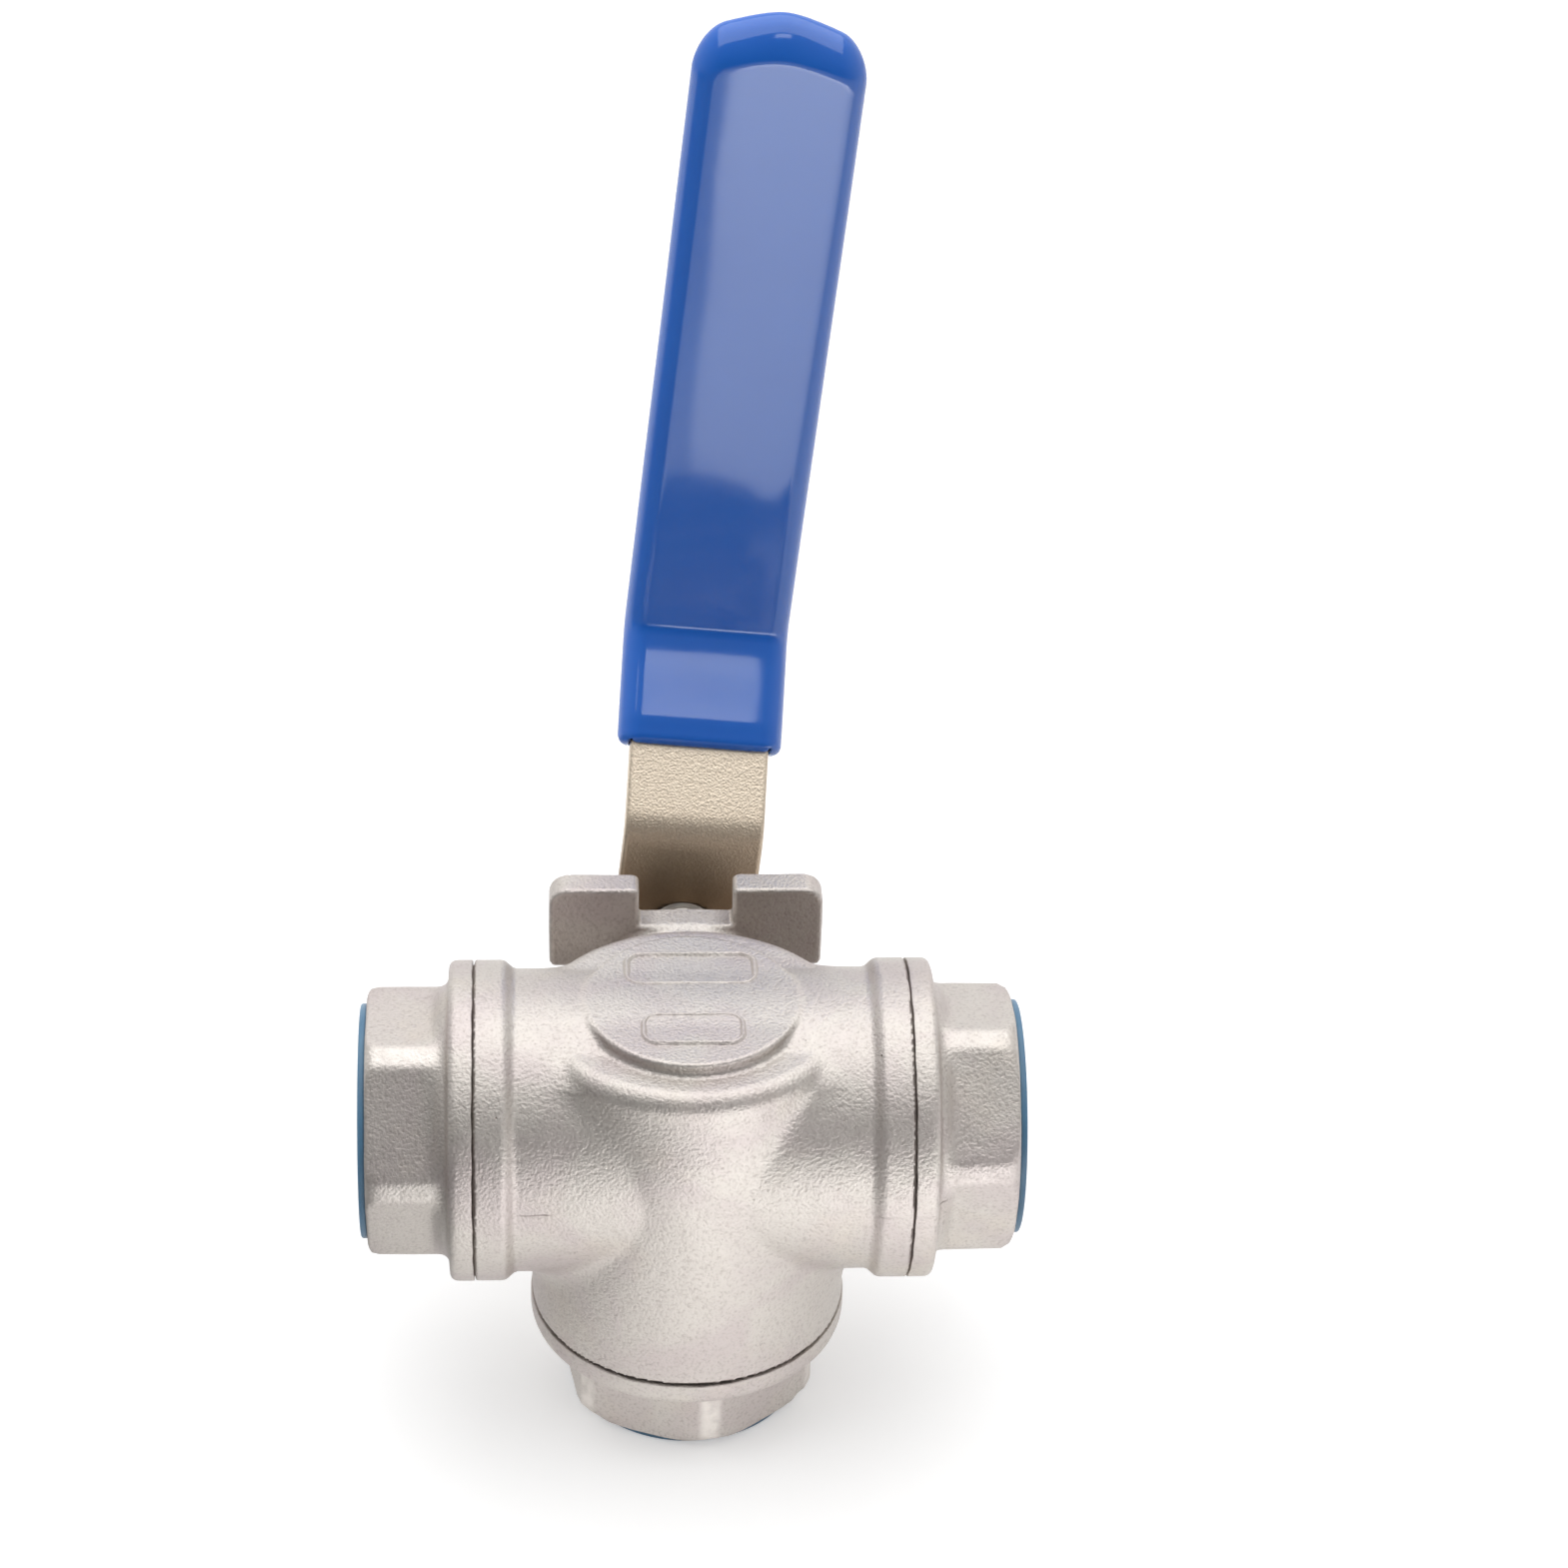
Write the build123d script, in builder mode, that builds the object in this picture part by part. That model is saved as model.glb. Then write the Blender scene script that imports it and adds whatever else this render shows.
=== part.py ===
from build123d import *
from math import atan2, cos, radians, sin, sqrt
import os

# Three-way ball valve, 3/4 inch, cast body with three screwed end caps and a sleeved lever.
# Millimetres. The valve stands on its third port. +Z runs up from that port to the closed side,
# +X runs out of the right-hand port, and +Y runs along the stem to the lever.
# The origin is on the third port's axis, on the outer face of the dust cap that closes it.

# ---- driving dimensions: ball, seats and waterway
waterway_radius = 8.0
ball_radius = 14.5
ball_slot_depth = 3.2
seat_rim_width = 1.29              # from the cone between seats out to each seat's rim
seat_back_depth = 1.7              # flat back of each seat, beyond the ball's own radius
seat_pocket_depth = 2.6            # how far each end cap's pocket holds its seat
seat_pocket_lip = 1.0

# ---- driving dimensions: end caps
seam_reach = 28.8                  # ball centre to the seam between body and end cap
seam_gap = 0.2                     # dark line left open between body and end cap
spigot_allowance = 2.0             # screwed spigot's radius over the ball's
end_cap_flange_thickness = 3.2
end_cap_neck_length = 0.6
end_cap_neck_step = 0.8            # neck radius over half the hexagon's width
hexagon_length = 10.3
hexagon_wall = 2.6                 # from the port's mouth to the flats
hexagon_corner_allowance = 3.0     # turned corner diameter over the width across flats
hexagon_turns = {"left": 36.0, "right": 17.0, "bottom": 21.0}
port_thread_radius = 12.1          # crest of the 3/4 inch female pipe thread
port_thread_depth = 14.0
port_thread_run_out = 3.0          # cone from the thread down to the waterway
port_mouth_step = 1.3              # plain lead-in ahead of the thread, over the thread's radius
port_mouth_depth = 2.2
gasket_width = 1.7
gasket_recess = 0.9                # depth of the joint ring's seat in the body's end face

# ---- driving dimensions: body casting
body_wall = 3.6                    # outside the spigot's bore
flange_step = 1.2                  # flange rings over the barrel
body_flange_width = 4.65
column_step = 1.0                 # column out of the barrel's round
shoulder_cover = 1.4               # column's shoulder above the closed side's seat
boss_margin = 2.7                  # marking boss outside the closed side's seat
closed_wall = 3.75                 # from the closed side's seat to the boss's face

# ---- driving dimensions: actuator pad
pad_thickness = 4.2
pad_notch_width = 12.4
pad_notch_depth = 6.0
pad_corner_radius = 2.6
pad_recess_radius = 11.5
pad_recess_rim = 1.25              # between recess and notch
pad_recess_depth = 1.0
neck_wall = 4.6                    # round the packing

# ---- driving dimensions: stem stack
stem_radius = 5.0                  # M10
stem_flat_depth = 1.25             # each of the two flats that drive the lever
stem_collar_step = 2.0
stem_collar_thickness = 2.2
stem_tang_width = 6.0
stem_tang_end = 0.6                # tang shorter than the collar, at each end
stem_end_lift = 1.2                # stem end above the top nut
stem_shoulder_thickness = 3.4      # body wall between thrust washer and packing
thrust_washer_thickness = 1.2
thrust_washer_step = 0.2           # over the collar's radius
packing_width = 3.0
packing_ring_height = 2.0
packing_ring_count = 3
gland_ring_height = 2.05
gland_ring_lift = 0.4              # gland ring stands this far above the recess floor
disc_spring_width = 3.8
disc_spring_height = 0.8
disc_spring_thickness = 0.5
nut_width = 3.0                    # from the stem to the nut's flats
nut_chamfer_slope = 0.6
stem_nut_height = 4.6
lever_nut_height = 8.0
lever_washer_width = 4.0
lever_washer_thickness = 2.0
lever_washer_split = 1.2
thread_chamfer = 0.8

# ---- driving dimensions: lever and sleeve
lever_rest_angle = 5.5             # lean of the lever from +Z towards +X
lever_width = 19.5
lever_thickness = 3.0
lever_standoff = 5.95              # lever's underside above the stem nut
lever_reach_to_rise = 16.3         # stem axis to the first bend
lever_rise_length = 29.4
lever_rise_angle = 45.0
lever_grip_length = 95.4           # second bend to the tip of the sleeve
lever_bend_radius = 6.0            # to the middle of the strip
strip_tip_round = 5.0
sleeve_side_wall = 1.85
sleeve_wall = 1.7                  # over the strip's faces
sleeve_tip_wall = 2.2
sleeve_corner_radius = 2.4
sleeve_start = 12.6                # length of the rise that the sleeve leaves bare
sleeve_tip_drop = 5.5              # the tip's shoulders lie this far short of its peak

# ---- driving dimensions: dust caps
dust_cap_flange = 0.9
dust_cap_skirt_wall = 0.9
dust_cap_skirt_length = 2.0

# ---- clearances and soft edges
fit_gap = 0.1                      # between pieces that are screwed or pushed together
running_gap = 0.05                 # between pieces that turn on each other
loose_gap = 0.3                    # washers and rings round the stem
seat_mitre_gap = 0.15              # from each seat's cone to the 45 degree line between seats
chamber_gap = 0.4                  # around the ball
cut_past = 1.0                     # cuts run on this far past the face they open
casting_round = 1.0
body_rim_round = 0.6
shoulder_round = 1.6
pad_round = 0.7
hexagon_round = 0.5
seam_round = 0.3

# ---- derived sizes, outward from the ball
cup_radius = ball_radius + running_gap
mitre_radius = (sqrt(2 * cup_radius**2 - seat_mitre_gap**2) - seat_mitre_gap) / 2
seat_radius = mitre_radius + seat_rim_width
seat_back = ball_radius + seat_back_depth
chamber_radius = ball_radius + chamber_gap
spigot_radius = ball_radius + spigot_allowance
spigot_bore_radius = spigot_radius + fit_gap
spigot_tip = seat_back - seat_pocket_depth
spigot_tip_radius = seat_radius + fit_gap + seat_pocket_lip
spigot_cone_end = spigot_tip + spigot_radius - spigot_tip_radius
barrel_radius = spigot_bore_radius + body_wall
flange_radius = barrel_radius + flange_step
column_radius = barrel_radius + column_step
boss_radius = seat_radius + boss_margin
boss_top = seat_back + closed_wall
column_top = seat_back + shoulder_cover
gasket_inner = spigot_radius + fit_gap
gasket_outer = gasket_inner + gasket_width
body_face = seam_reach - seam_gap / 2
cap_face = seam_reach + seam_gap / 2
flange_end = cap_face + end_cap_flange_thickness
hexagon_start = flange_end + end_cap_neck_length
port_reach = hexagon_start + hexagon_length
port_mouth_radius = port_thread_radius + port_mouth_step
half_hexagon = port_mouth_radius + hexagon_wall
dust_cap_radius = half_hexagon

# ---- derived places along the stem, from the ball's centre
tang_bottom = ball_radius - ball_slot_depth + fit_gap
collar_bottom = chamber_radius
collar_top = collar_bottom + stem_collar_thickness
thrust_washer_bottom = collar_top + running_gap
stem_shoulder = thrust_washer_bottom + thrust_washer_thickness
packing_floor = stem_shoulder + stem_shoulder_thickness
packing_top = packing_floor + packing_ring_count * packing_ring_height
gland_top = packing_top + gland_ring_height
recess_floor = gland_top - gland_ring_lift
pad_top = recess_floor + pad_recess_depth
pad_underside = pad_top - pad_thickness
disc_springs_top = gland_top + 2 * disc_spring_height
stem_nut_bottom = disc_springs_top + running_gap
lever_seat = stem_nut_bottom + stem_nut_height + lever_standoff
lever_top = lever_seat + lever_thickness
lever_nut_bottom = lever_top + lever_washer_thickness
lever_nut_top = lever_nut_bottom + lever_nut_height
stem_end = lever_nut_top + stem_end_lift
stem_collar_radius = stem_radius + stem_collar_step
packing_radius = stem_radius + packing_width
stem_neck_radius = packing_radius + neck_wall
pad_width = 2 * (pad_recess_radius + pad_recess_rim + pad_notch_depth)
lever_hole_flats = 2 * (stem_radius - stem_flat_depth + fit_gap)

# ---- frame
centre_height = port_reach + dust_cap_flange
centre = Vector(0, 0, centre_height)
right = Vector(1, 0, 0)
left = Vector(-1, 0, 0)
down = Vector(0, 0, -1)
up = Vector(0, 0, 1)
along_stem = Vector(0, 1, 0)
ports = {"left": left, "right": right, "bottom": down}

# Planes that share the ball's centre. The lever's own plane leans with it.
stem_plane = Plane(origin=centre, x_dir=up, z_dir=along_stem)
lever_direction = Vector(sin(radians(lever_rest_angle)), 0, cos(radians(lever_rest_angle)))
turned_plane = Plane(origin=centre, x_dir=lever_direction, z_dir=along_stem)
lever_side = turned_plane.y_dir
lever_profile_plane = Plane(origin=centre, x_dir=lever_direction, z_dir=lever_direction.cross(along_stem))


def profile_plane(outward):
    """Half-plane through the ball's centre: x runs outward along the axis, y is the radius."""
    radial = along_stem if abs(outward.Y) < 0.5 else up
    return Plane(origin=centre, x_dir=outward, z_dir=outward.cross(radial))


def port_plane(outward, distance):
    """Plane square to a port, facing outward, at a distance from the ball's centre."""
    across = up if abs(outward.Z) < 0.5 else right
    return Plane(origin=centre + outward * distance, x_dir=across, z_dir=outward)


def finish(part, name):
    part.label = name
    export_step(part, f"parts/{name}.step")
    print(f"{name}: {len(part.solids())} solid, {part.volume:.1f} mm3")


def circle_edges(part, radius):
    """Circular edges of one radius, such as the rims of a flange."""
    circles = part.edges().filter_by(lambda edge: edge.geom_type == GeomType.CIRCLE)
    return circles.filter_by(lambda rim: abs(rim.radius - radius) < running_gap)


def make_hexagon(outward, turn):
    """Hexagon of an end cap, with its corners turned down and every edge softened."""
    with BuildPart() as hexagon:
        with BuildSketch(port_plane(outward, hexagon_start)):
            RegularPolygon(half_hexagon, 6, major_radius=False, rotation=turn)
            Circle(half_hexagon + hexagon_corner_allowance / 2, mode=Mode.INTERSECT)
        extrude(amount=hexagon_length)
        fillet(hexagon.edges().filter_by(Axis(centre, outward)), hexagon_round)
        fillet(hexagon.faces().filter_by(Axis(centre, outward)).edges(), hexagon_round)
    return hexagon.part


def make_end_cap(name, outward, hexagon_turn):
    """Screwed end cap: spigot with the seat's pocket, flange, hexagon and threaded port."""
    hexagon_inside = hexagon_start + hexagon_length / 2
    thread_start = port_reach - port_thread_depth
    mouth_start = port_reach - port_mouth_depth
    past_end = port_reach + cut_past
    before_tip = spigot_tip - cut_past
    with BuildPart() as cap:
        with BuildSketch(profile_plane(outward)):
            with BuildLine():
                Polyline(
                    (spigot_tip, 0),
                    (spigot_tip, spigot_tip_radius),
                    (spigot_cone_end, spigot_radius),
                    (cap_face, spigot_radius),
                    (cap_face, flange_radius),
                    (flange_end, flange_radius),
                    (flange_end, half_hexagon + end_cap_neck_step),
                    (hexagon_inside, half_hexagon - end_cap_neck_step),
                    (hexagon_inside, 0),
                    (spigot_tip, 0),
                )
            make_face()
        revolve(axis=Axis(centre, outward))
        inner_rim, outer_rim = circle_edges(cap, flange_radius).sort_by(Axis(centre, outward))
        fillet(outer_rim, casting_round)
        fillet(inner_rim, seam_round)
        add(make_hexagon(outward, hexagon_turn))
        with BuildSketch(profile_plane(outward)):
            with BuildLine():
                Polyline(
                    (before_tip, 0),
                    (before_tip, seat_radius + fit_gap),
                    (seat_back, seat_radius + fit_gap),
                    (seat_back, waterway_radius),
                    (thread_start - port_thread_run_out, waterway_radius),
                    (thread_start, port_thread_radius),
                    (mouth_start, port_thread_radius),
                    (mouth_start, port_mouth_radius),
                    (past_end, port_mouth_radius),
                    (past_end, 0),
                    (before_tip, 0),
                )
            make_face()
        revolve(axis=Axis(centre, outward), mode=Mode.SUBTRACT)
    finish(cap.part, name)


def make_ring(name, outward, inner, outer, start, end):
    """Plain flat ring on an axis through the ball's centre."""
    with BuildPart() as ring:
        with BuildSketch(port_plane(outward, start)):
            Circle(outer)
            Circle(inner, mode=Mode.SUBTRACT)
        extrude(amount=end - start)
    finish(ring.part, name)


def make_seat(name, outward):
    """Seat ring: flat back, spherical face for the ball, coned to clear the seats beside it."""
    mitre_point = (mitre_radius + seat_mitre_gap, mitre_radius)
    bore_point = (sqrt(cup_radius**2 - waterway_radius**2), waterway_radius)
    mid_angle = (atan2(mitre_point[1], mitre_point[0]) + atan2(bore_point[1], bore_point[0])) / 2
    with BuildPart() as seat:
        with BuildSketch(profile_plane(outward)):
            with BuildLine():
                ThreePointArc(
                    bore_point,
                    (cup_radius * cos(mid_angle), cup_radius * sin(mid_angle)),
                    mitre_point,
                )
                Polyline(
                    mitre_point,
                    (seat_radius + seat_mitre_gap, seat_radius),
                    (seat_back, seat_radius),
                    (seat_back, waterway_radius),
                    bore_point,
                )
            make_face()
        revolve(axis=Axis(centre, outward))
    finish(seat.part, name)


def make_dust_cap(name, outward):
    """Push-in dust cap: a thin disc over the port with a short skirt in its mouth."""
    skirt_radius = port_mouth_radius - fit_gap
    with BuildPart() as cap:
        with BuildSketch(port_plane(outward, port_reach)):
            Circle(dust_cap_radius)
        extrude(amount=dust_cap_flange)
        with BuildSketch(port_plane(outward, port_reach)):
            Circle(skirt_radius)
            Circle(skirt_radius - dust_cap_skirt_wall, mode=Mode.SUBTRACT)
        extrude(amount=-dust_cap_skirt_length)
    finish(cap.part, name)


def make_nut(name, bottom, height):
    """Hexagon nut on the stem, with its corners chamfered at both faces."""
    half_width = stem_radius + nut_width
    corner_radius = half_width / cos(radians(30))
    chamfer_drop = (corner_radius - half_width) * nut_chamfer_slope
    with BuildPart() as nut:
        with BuildSketch(turned_plane.offset(bottom)):
            RegularPolygon(half_width, 6, major_radius=False)
        extrude(amount=height)
        with BuildSketch(profile_plane(along_stem)):
            with BuildLine():
                Polyline(
                    (bottom, 0),
                    (bottom, half_width),
                    (bottom + chamfer_drop, corner_radius),
                    (bottom + height - chamfer_drop, corner_radius),
                    (bottom + height, half_width),
                    (bottom + height, 0),
                    (bottom, 0),
                )
            make_face()
        revolve(axis=Axis(centre, along_stem), mode=Mode.INTERSECT)
        with BuildSketch(turned_plane.offset(bottom)):
            Circle(stem_radius + running_gap)
        extrude(amount=height, mode=Mode.SUBTRACT)
    finish(nut.part, name)


def make_disc_spring(name, bottom, dished_up):
    """Dished spring washer. The pair meets at its outer rims."""
    inner = stem_radius + loose_gap
    outer = stem_radius + disc_spring_width
    rise = disc_spring_height - disc_spring_thickness
    at_inner, at_outer = (0, rise) if dished_up else (rise, 0)
    with BuildPart() as spring:
        with BuildSketch(profile_plane(along_stem)):
            with BuildLine():
                Polyline(
                    (bottom + at_inner, inner),
                    (bottom + at_outer, outer),
                    (bottom + at_outer + disc_spring_thickness, outer),
                    (bottom + at_inner + disc_spring_thickness, inner),
                    (bottom + at_inner, inner),
                )
            make_face()
        revolve(axis=Axis(centre, along_stem))
    finish(spring.part, name)


def make_pad():
    """Square actuator pad with a notch in the middle of each side and softened edges."""
    with BuildPart() as pad:
        with BuildSketch(stem_plane.offset(pad_underside)):
            RectangleRounded(pad_width, pad_width, pad_corner_radius)
            with PolarLocations(pad_width / 2, 4):
                Rectangle(2 * pad_notch_depth, pad_notch_width, mode=Mode.SUBTRACT)
        extrude(amount=pad_thickness)
        fillet(pad.faces().filter_by(Axis.Y).edges(), pad_round)
    return pad.part


os.makedirs("parts", exist_ok=True)

# ---- body: one casting with two side ports, a third port below and a closed, bossed top
with BuildPart() as body:
    with BuildSketch(port_plane(left, 0)):
        Circle(barrel_radius)
    extrude(amount=body_face, both=True)
    for outward in (left, right):
        with BuildSketch(port_plane(outward, body_face)):
            Circle(flange_radius)
        extrude(amount=-body_flange_width)
    with BuildSketch(port_plane(down, body_face)):
        Circle(column_radius)
    extrude(amount=-(body_face + column_top))
    with BuildSketch(port_plane(up, 0)):
        Circle(boss_radius)
    extrude(amount=boss_top)
    with BuildSketch(stem_plane):
        Circle(stem_neck_radius)
    extrude(amount=pad_underside)
    fillet(circle_edges(body, flange_radius), body_rim_round)
    fillet(circle_edges(body, boss_radius), body_rim_round)
    fillet(circle_edges(body, column_radius).group_by(Axis.Z)[0], body_rim_round)
    fillet(circle_edges(body, column_radius).group_by(Axis.Z)[-1], shoulder_round)
    add(make_pad())
    # cavity: chamber round the ball, spigot bores, and the pocket of the seat in the closed side
    spigot_cone_radius_gap = spigot_bore_radius - chamber_radius
    for outward in (left, right, down):
        with BuildSketch(profile_plane(outward)):
            with BuildLine():
                Polyline(
                    (0, 0),
                    (0, chamber_radius),
                    (spigot_cone_end - spigot_cone_radius_gap, chamber_radius),
                    (spigot_cone_end, spigot_bore_radius),
                    (body_face - gasket_recess, spigot_bore_radius),
                    (body_face - gasket_recess, gasket_outer + fit_gap),
                    (body_face + cut_past, gasket_outer + fit_gap),
                    (body_face + cut_past, 0),
                    (0, 0),
                )
            make_face()
        revolve(axis=Axis(centre, outward), mode=Mode.SUBTRACT)
    with BuildSketch(port_plane(up, 0)):
        Circle(seat_radius + fit_gap)
    extrude(amount=seat_back, mode=Mode.SUBTRACT)
    # stem passage: collar pocket, running bore, packing box and the pad's recess
    with BuildSketch(stem_plane):
        Circle(stem_collar_radius + chamber_gap)
    extrude(amount=stem_shoulder, mode=Mode.SUBTRACT)
    with BuildSketch(stem_plane):
        Circle(stem_radius + running_gap)
    extrude(amount=pad_top, mode=Mode.SUBTRACT)
    with BuildSketch(stem_plane.offset(packing_floor)):
        Circle(packing_radius)
    extrude(amount=pad_top - packing_floor, mode=Mode.SUBTRACT)
    with BuildSketch(stem_plane.offset(recess_floor)):
        Circle(pad_recess_radius)
    extrude(amount=pad_recess_depth, mode=Mode.SUBTRACT)
finish(body.part, "body")

# ---- end caps, joint rings, seats and dust caps, one at each port
for side, outward in ports.items():
    make_end_cap(f"end_cap_{side}", outward, hexagon_turns[side])
    make_ring(
        f"body_gasket_{side}", outward, gasket_inner, gasket_outer, body_face - gasket_recess, cap_face
    )
    make_dust_cap(f"dust_cap_{side}", outward)
for side, outward in (*ports.items(), ("top", up)):
    make_seat(f"seat_{side}", outward)

# ---- ball: straight bore across, branch bore away from the lever, slot for the stem's tang
with BuildPart() as ball:
    with BuildSketch(turned_plane):
        with BuildLine():
            CenterArc((0, 0), ball_radius, 0, 180)
            Line((-ball_radius, 0), (ball_radius, 0))
        make_face()
    revolve(axis=Axis(centre, lever_direction))
    with BuildSketch(Plane(origin=centre, x_dir=along_stem, z_dir=lever_side)):
        Circle(waterway_radius)
    extrude(amount=ball_radius + cut_past, both=True, mode=Mode.SUBTRACT)
    with BuildSketch(Plane(origin=centre, x_dir=along_stem, z_dir=-lever_direction)):
        Circle(waterway_radius)
    extrude(amount=ball_radius + cut_past, mode=Mode.SUBTRACT)
    with BuildSketch(turned_plane.offset(ball_radius - ball_slot_depth)):
        Rectangle(2 * ball_radius, stem_tang_width)
    extrude(amount=ball_slot_depth + cut_past, mode=Mode.SUBTRACT)
finish(ball.part, "ball")

# ---- stem: tang in the ball, collar that can't blow out, packing shaft, flats for the lever
with BuildPart() as stem:
    with BuildSketch(turned_plane.offset(tang_bottom)):
        Rectangle(2 * (stem_collar_radius - stem_tang_end), stem_tang_width - 2 * fit_gap)
    extrude(amount=collar_bottom - tang_bottom)
    with BuildSketch(turned_plane.offset(collar_bottom)):
        Circle(stem_collar_radius)
    extrude(amount=stem_collar_thickness)
    with BuildSketch(turned_plane.offset(collar_top)):
        Circle(stem_radius)
    extrude(amount=stem_end - collar_top)
    top_rim = stem.edges().filter_by(GeomType.CIRCLE).sort_by(Axis(centre, along_stem))[-1]
    chamfer(top_rim, thread_chamfer)
    flat_cut_centre = 2 * stem_radius - stem_flat_depth
    with BuildSketch(turned_plane.offset(lever_seat)):
        with Locations((0, flat_cut_centre), (0, -flat_cut_centre)):
            Rectangle(4 * stem_radius, 2 * stem_radius)
    extrude(amount=stem_end - lever_seat, mode=Mode.SUBTRACT)
finish(stem.part, "stem")

# ---- stem stack, from the collar up to the nuts
make_ring(
    "stem_thrust_washer", along_stem, stem_radius + running_gap, stem_collar_radius + thrust_washer_step,
    thrust_washer_bottom, stem_shoulder,
)
for index in range(packing_ring_count):
    ring_bottom = packing_floor + index * packing_ring_height
    make_ring(
        f"packing_ring_{index + 1}", along_stem, stem_radius + running_gap, packing_radius,
        ring_bottom, ring_bottom + packing_ring_height,
    )
make_ring(
    "gland_ring", along_stem, stem_radius + loose_gap, packing_radius - fit_gap, packing_top, gland_top
)
make_disc_spring("disc_spring_lower", gland_top, True)
make_disc_spring("disc_spring_upper", gland_top + disc_spring_height, False)
make_nut("stem_nut", stem_nut_bottom, stem_nut_height)
make_nut("lever_nut", lever_nut_bottom, lever_nut_height)

# ---- lever washer: split spring washer under the top nut
with BuildPart() as lever_washer:
    with BuildSketch(turned_plane.offset(lever_top)):
        Circle(stem_radius + lever_washer_width)
        Circle(stem_radius + fit_gap, mode=Mode.SUBTRACT)
        with Locations((-(stem_radius + lever_washer_width / 2), 0)):
            Rectangle(2 * lever_washer_width, lever_washer_split, mode=Mode.SUBTRACT)
    extrude(amount=lever_washer_thickness)
finish(lever_washer.part, "lever_washer")

# ---- lever: one cranked strip, flat at the stem, rising, then flat again inside the sleeve
rise_along = lever_rise_length * cos(radians(lever_rise_angle))
rise_up = lever_rise_length * sin(radians(lever_rise_angle))
strip_middle = lever_seat + lever_thickness / 2
grip_start = lever_reach_to_rise + rise_along
sleeve_tip = grip_start + lever_grip_length
strip_tip = sleeve_tip - sleeve_tip_drop - sleeve_tip_wall
tail_end = -lever_width / 2
above_lever = strip_middle + rise_up + 2 * lever_width


def strip_path(start, end):
    """Middle line of the strip, in the lever's profile plane."""
    return FilletPolyline(
        (start, strip_middle),
        (lever_reach_to_rise, strip_middle),
        (grip_start, strip_middle + rise_up),
        (end, strip_middle + rise_up),
        radius=lever_bend_radius,
    )


with BuildPart() as lever:
    with BuildLine(lever_profile_plane) as path:
        strip_path(tail_end, strip_tip)
    with BuildSketch(Plane(origin=path.line @ 0, x_dir=lever_side, z_dir=path.line % 0)):
        Rectangle(lever_width, lever_thickness)
    sweep()
    with BuildSketch(turned_plane) as lever_plan:
        Circle(lever_width / 2)
        with Locations((strip_tip / 2, 0)):
            Rectangle(strip_tip, lever_width)
        tips = lever_plan.vertices().sort_by(Axis(centre, lever_direction))[-2:]
        fillet(tips, strip_tip_round)
    extrude(amount=above_lever, mode=Mode.INTERSECT)
    with BuildSketch(turned_plane.offset(lever_seat)):
        Circle(stem_radius + fit_gap)
        Rectangle(4 * stem_radius, lever_hole_flats, mode=Mode.INTERSECT)
    extrude(amount=lever_thickness, mode=Mode.SUBTRACT)
finish(lever.part, "lever")

# ---- lever sleeve: dipped vinyl over the rise's upper part and the whole grip
sleeve_width = lever_width + 2 * sleeve_side_wall
sleeve_foot = (
    lever_reach_to_rise + sleeve_start * cos(radians(lever_rise_angle)),
    strip_middle + sleeve_start * sin(radians(lever_rise_angle)),
)
with BuildPart() as sleeve:
    with BuildLine(lever_profile_plane) as sleeve_line:
        FilletPolyline(
            sleeve_foot,
            (grip_start, strip_middle + rise_up),
            (sleeve_tip, strip_middle + rise_up),
            radius=lever_bend_radius,
        )
    with BuildSketch(Plane(origin=sleeve_line.line @ 0, x_dir=lever_side, z_dir=sleeve_line.line % 0)):
        RectangleRounded(sleeve_width, lever_thickness + 2 * sleeve_wall, sleeve_corner_radius)
    sweep()
    with BuildSketch(turned_plane):
        with BuildLine():
            Polyline(
                (0, -sleeve_width),
                (sleeve_tip - 2 * sleeve_tip_drop, -sleeve_width),
                (sleeve_tip, 0),
                (sleeve_tip - 2 * sleeve_tip_drop, sleeve_width),
                (0, sleeve_width),
                (0, -sleeve_width),
            )
        make_face()
    extrude(amount=above_lever, mode=Mode.INTERSECT)
    with BuildLine(lever_profile_plane, mode=Mode.PRIVATE) as cavity_line:
        strip_path(0, strip_tip + running_gap)
    with BuildSketch(Plane(origin=cavity_line.line @ 0, x_dir=lever_side, z_dir=cavity_line.line % 0)):
        Rectangle(lever_width + 2 * running_gap, lever_thickness + 2 * running_gap)
    sweep(path=cavity_line.line, mode=Mode.SUBTRACT)
finish(sleeve.part, "lever_sleeve")
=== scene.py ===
from itertools import product

import bpy
import numpy as np
from mathutils import Matrix, Vector


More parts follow.
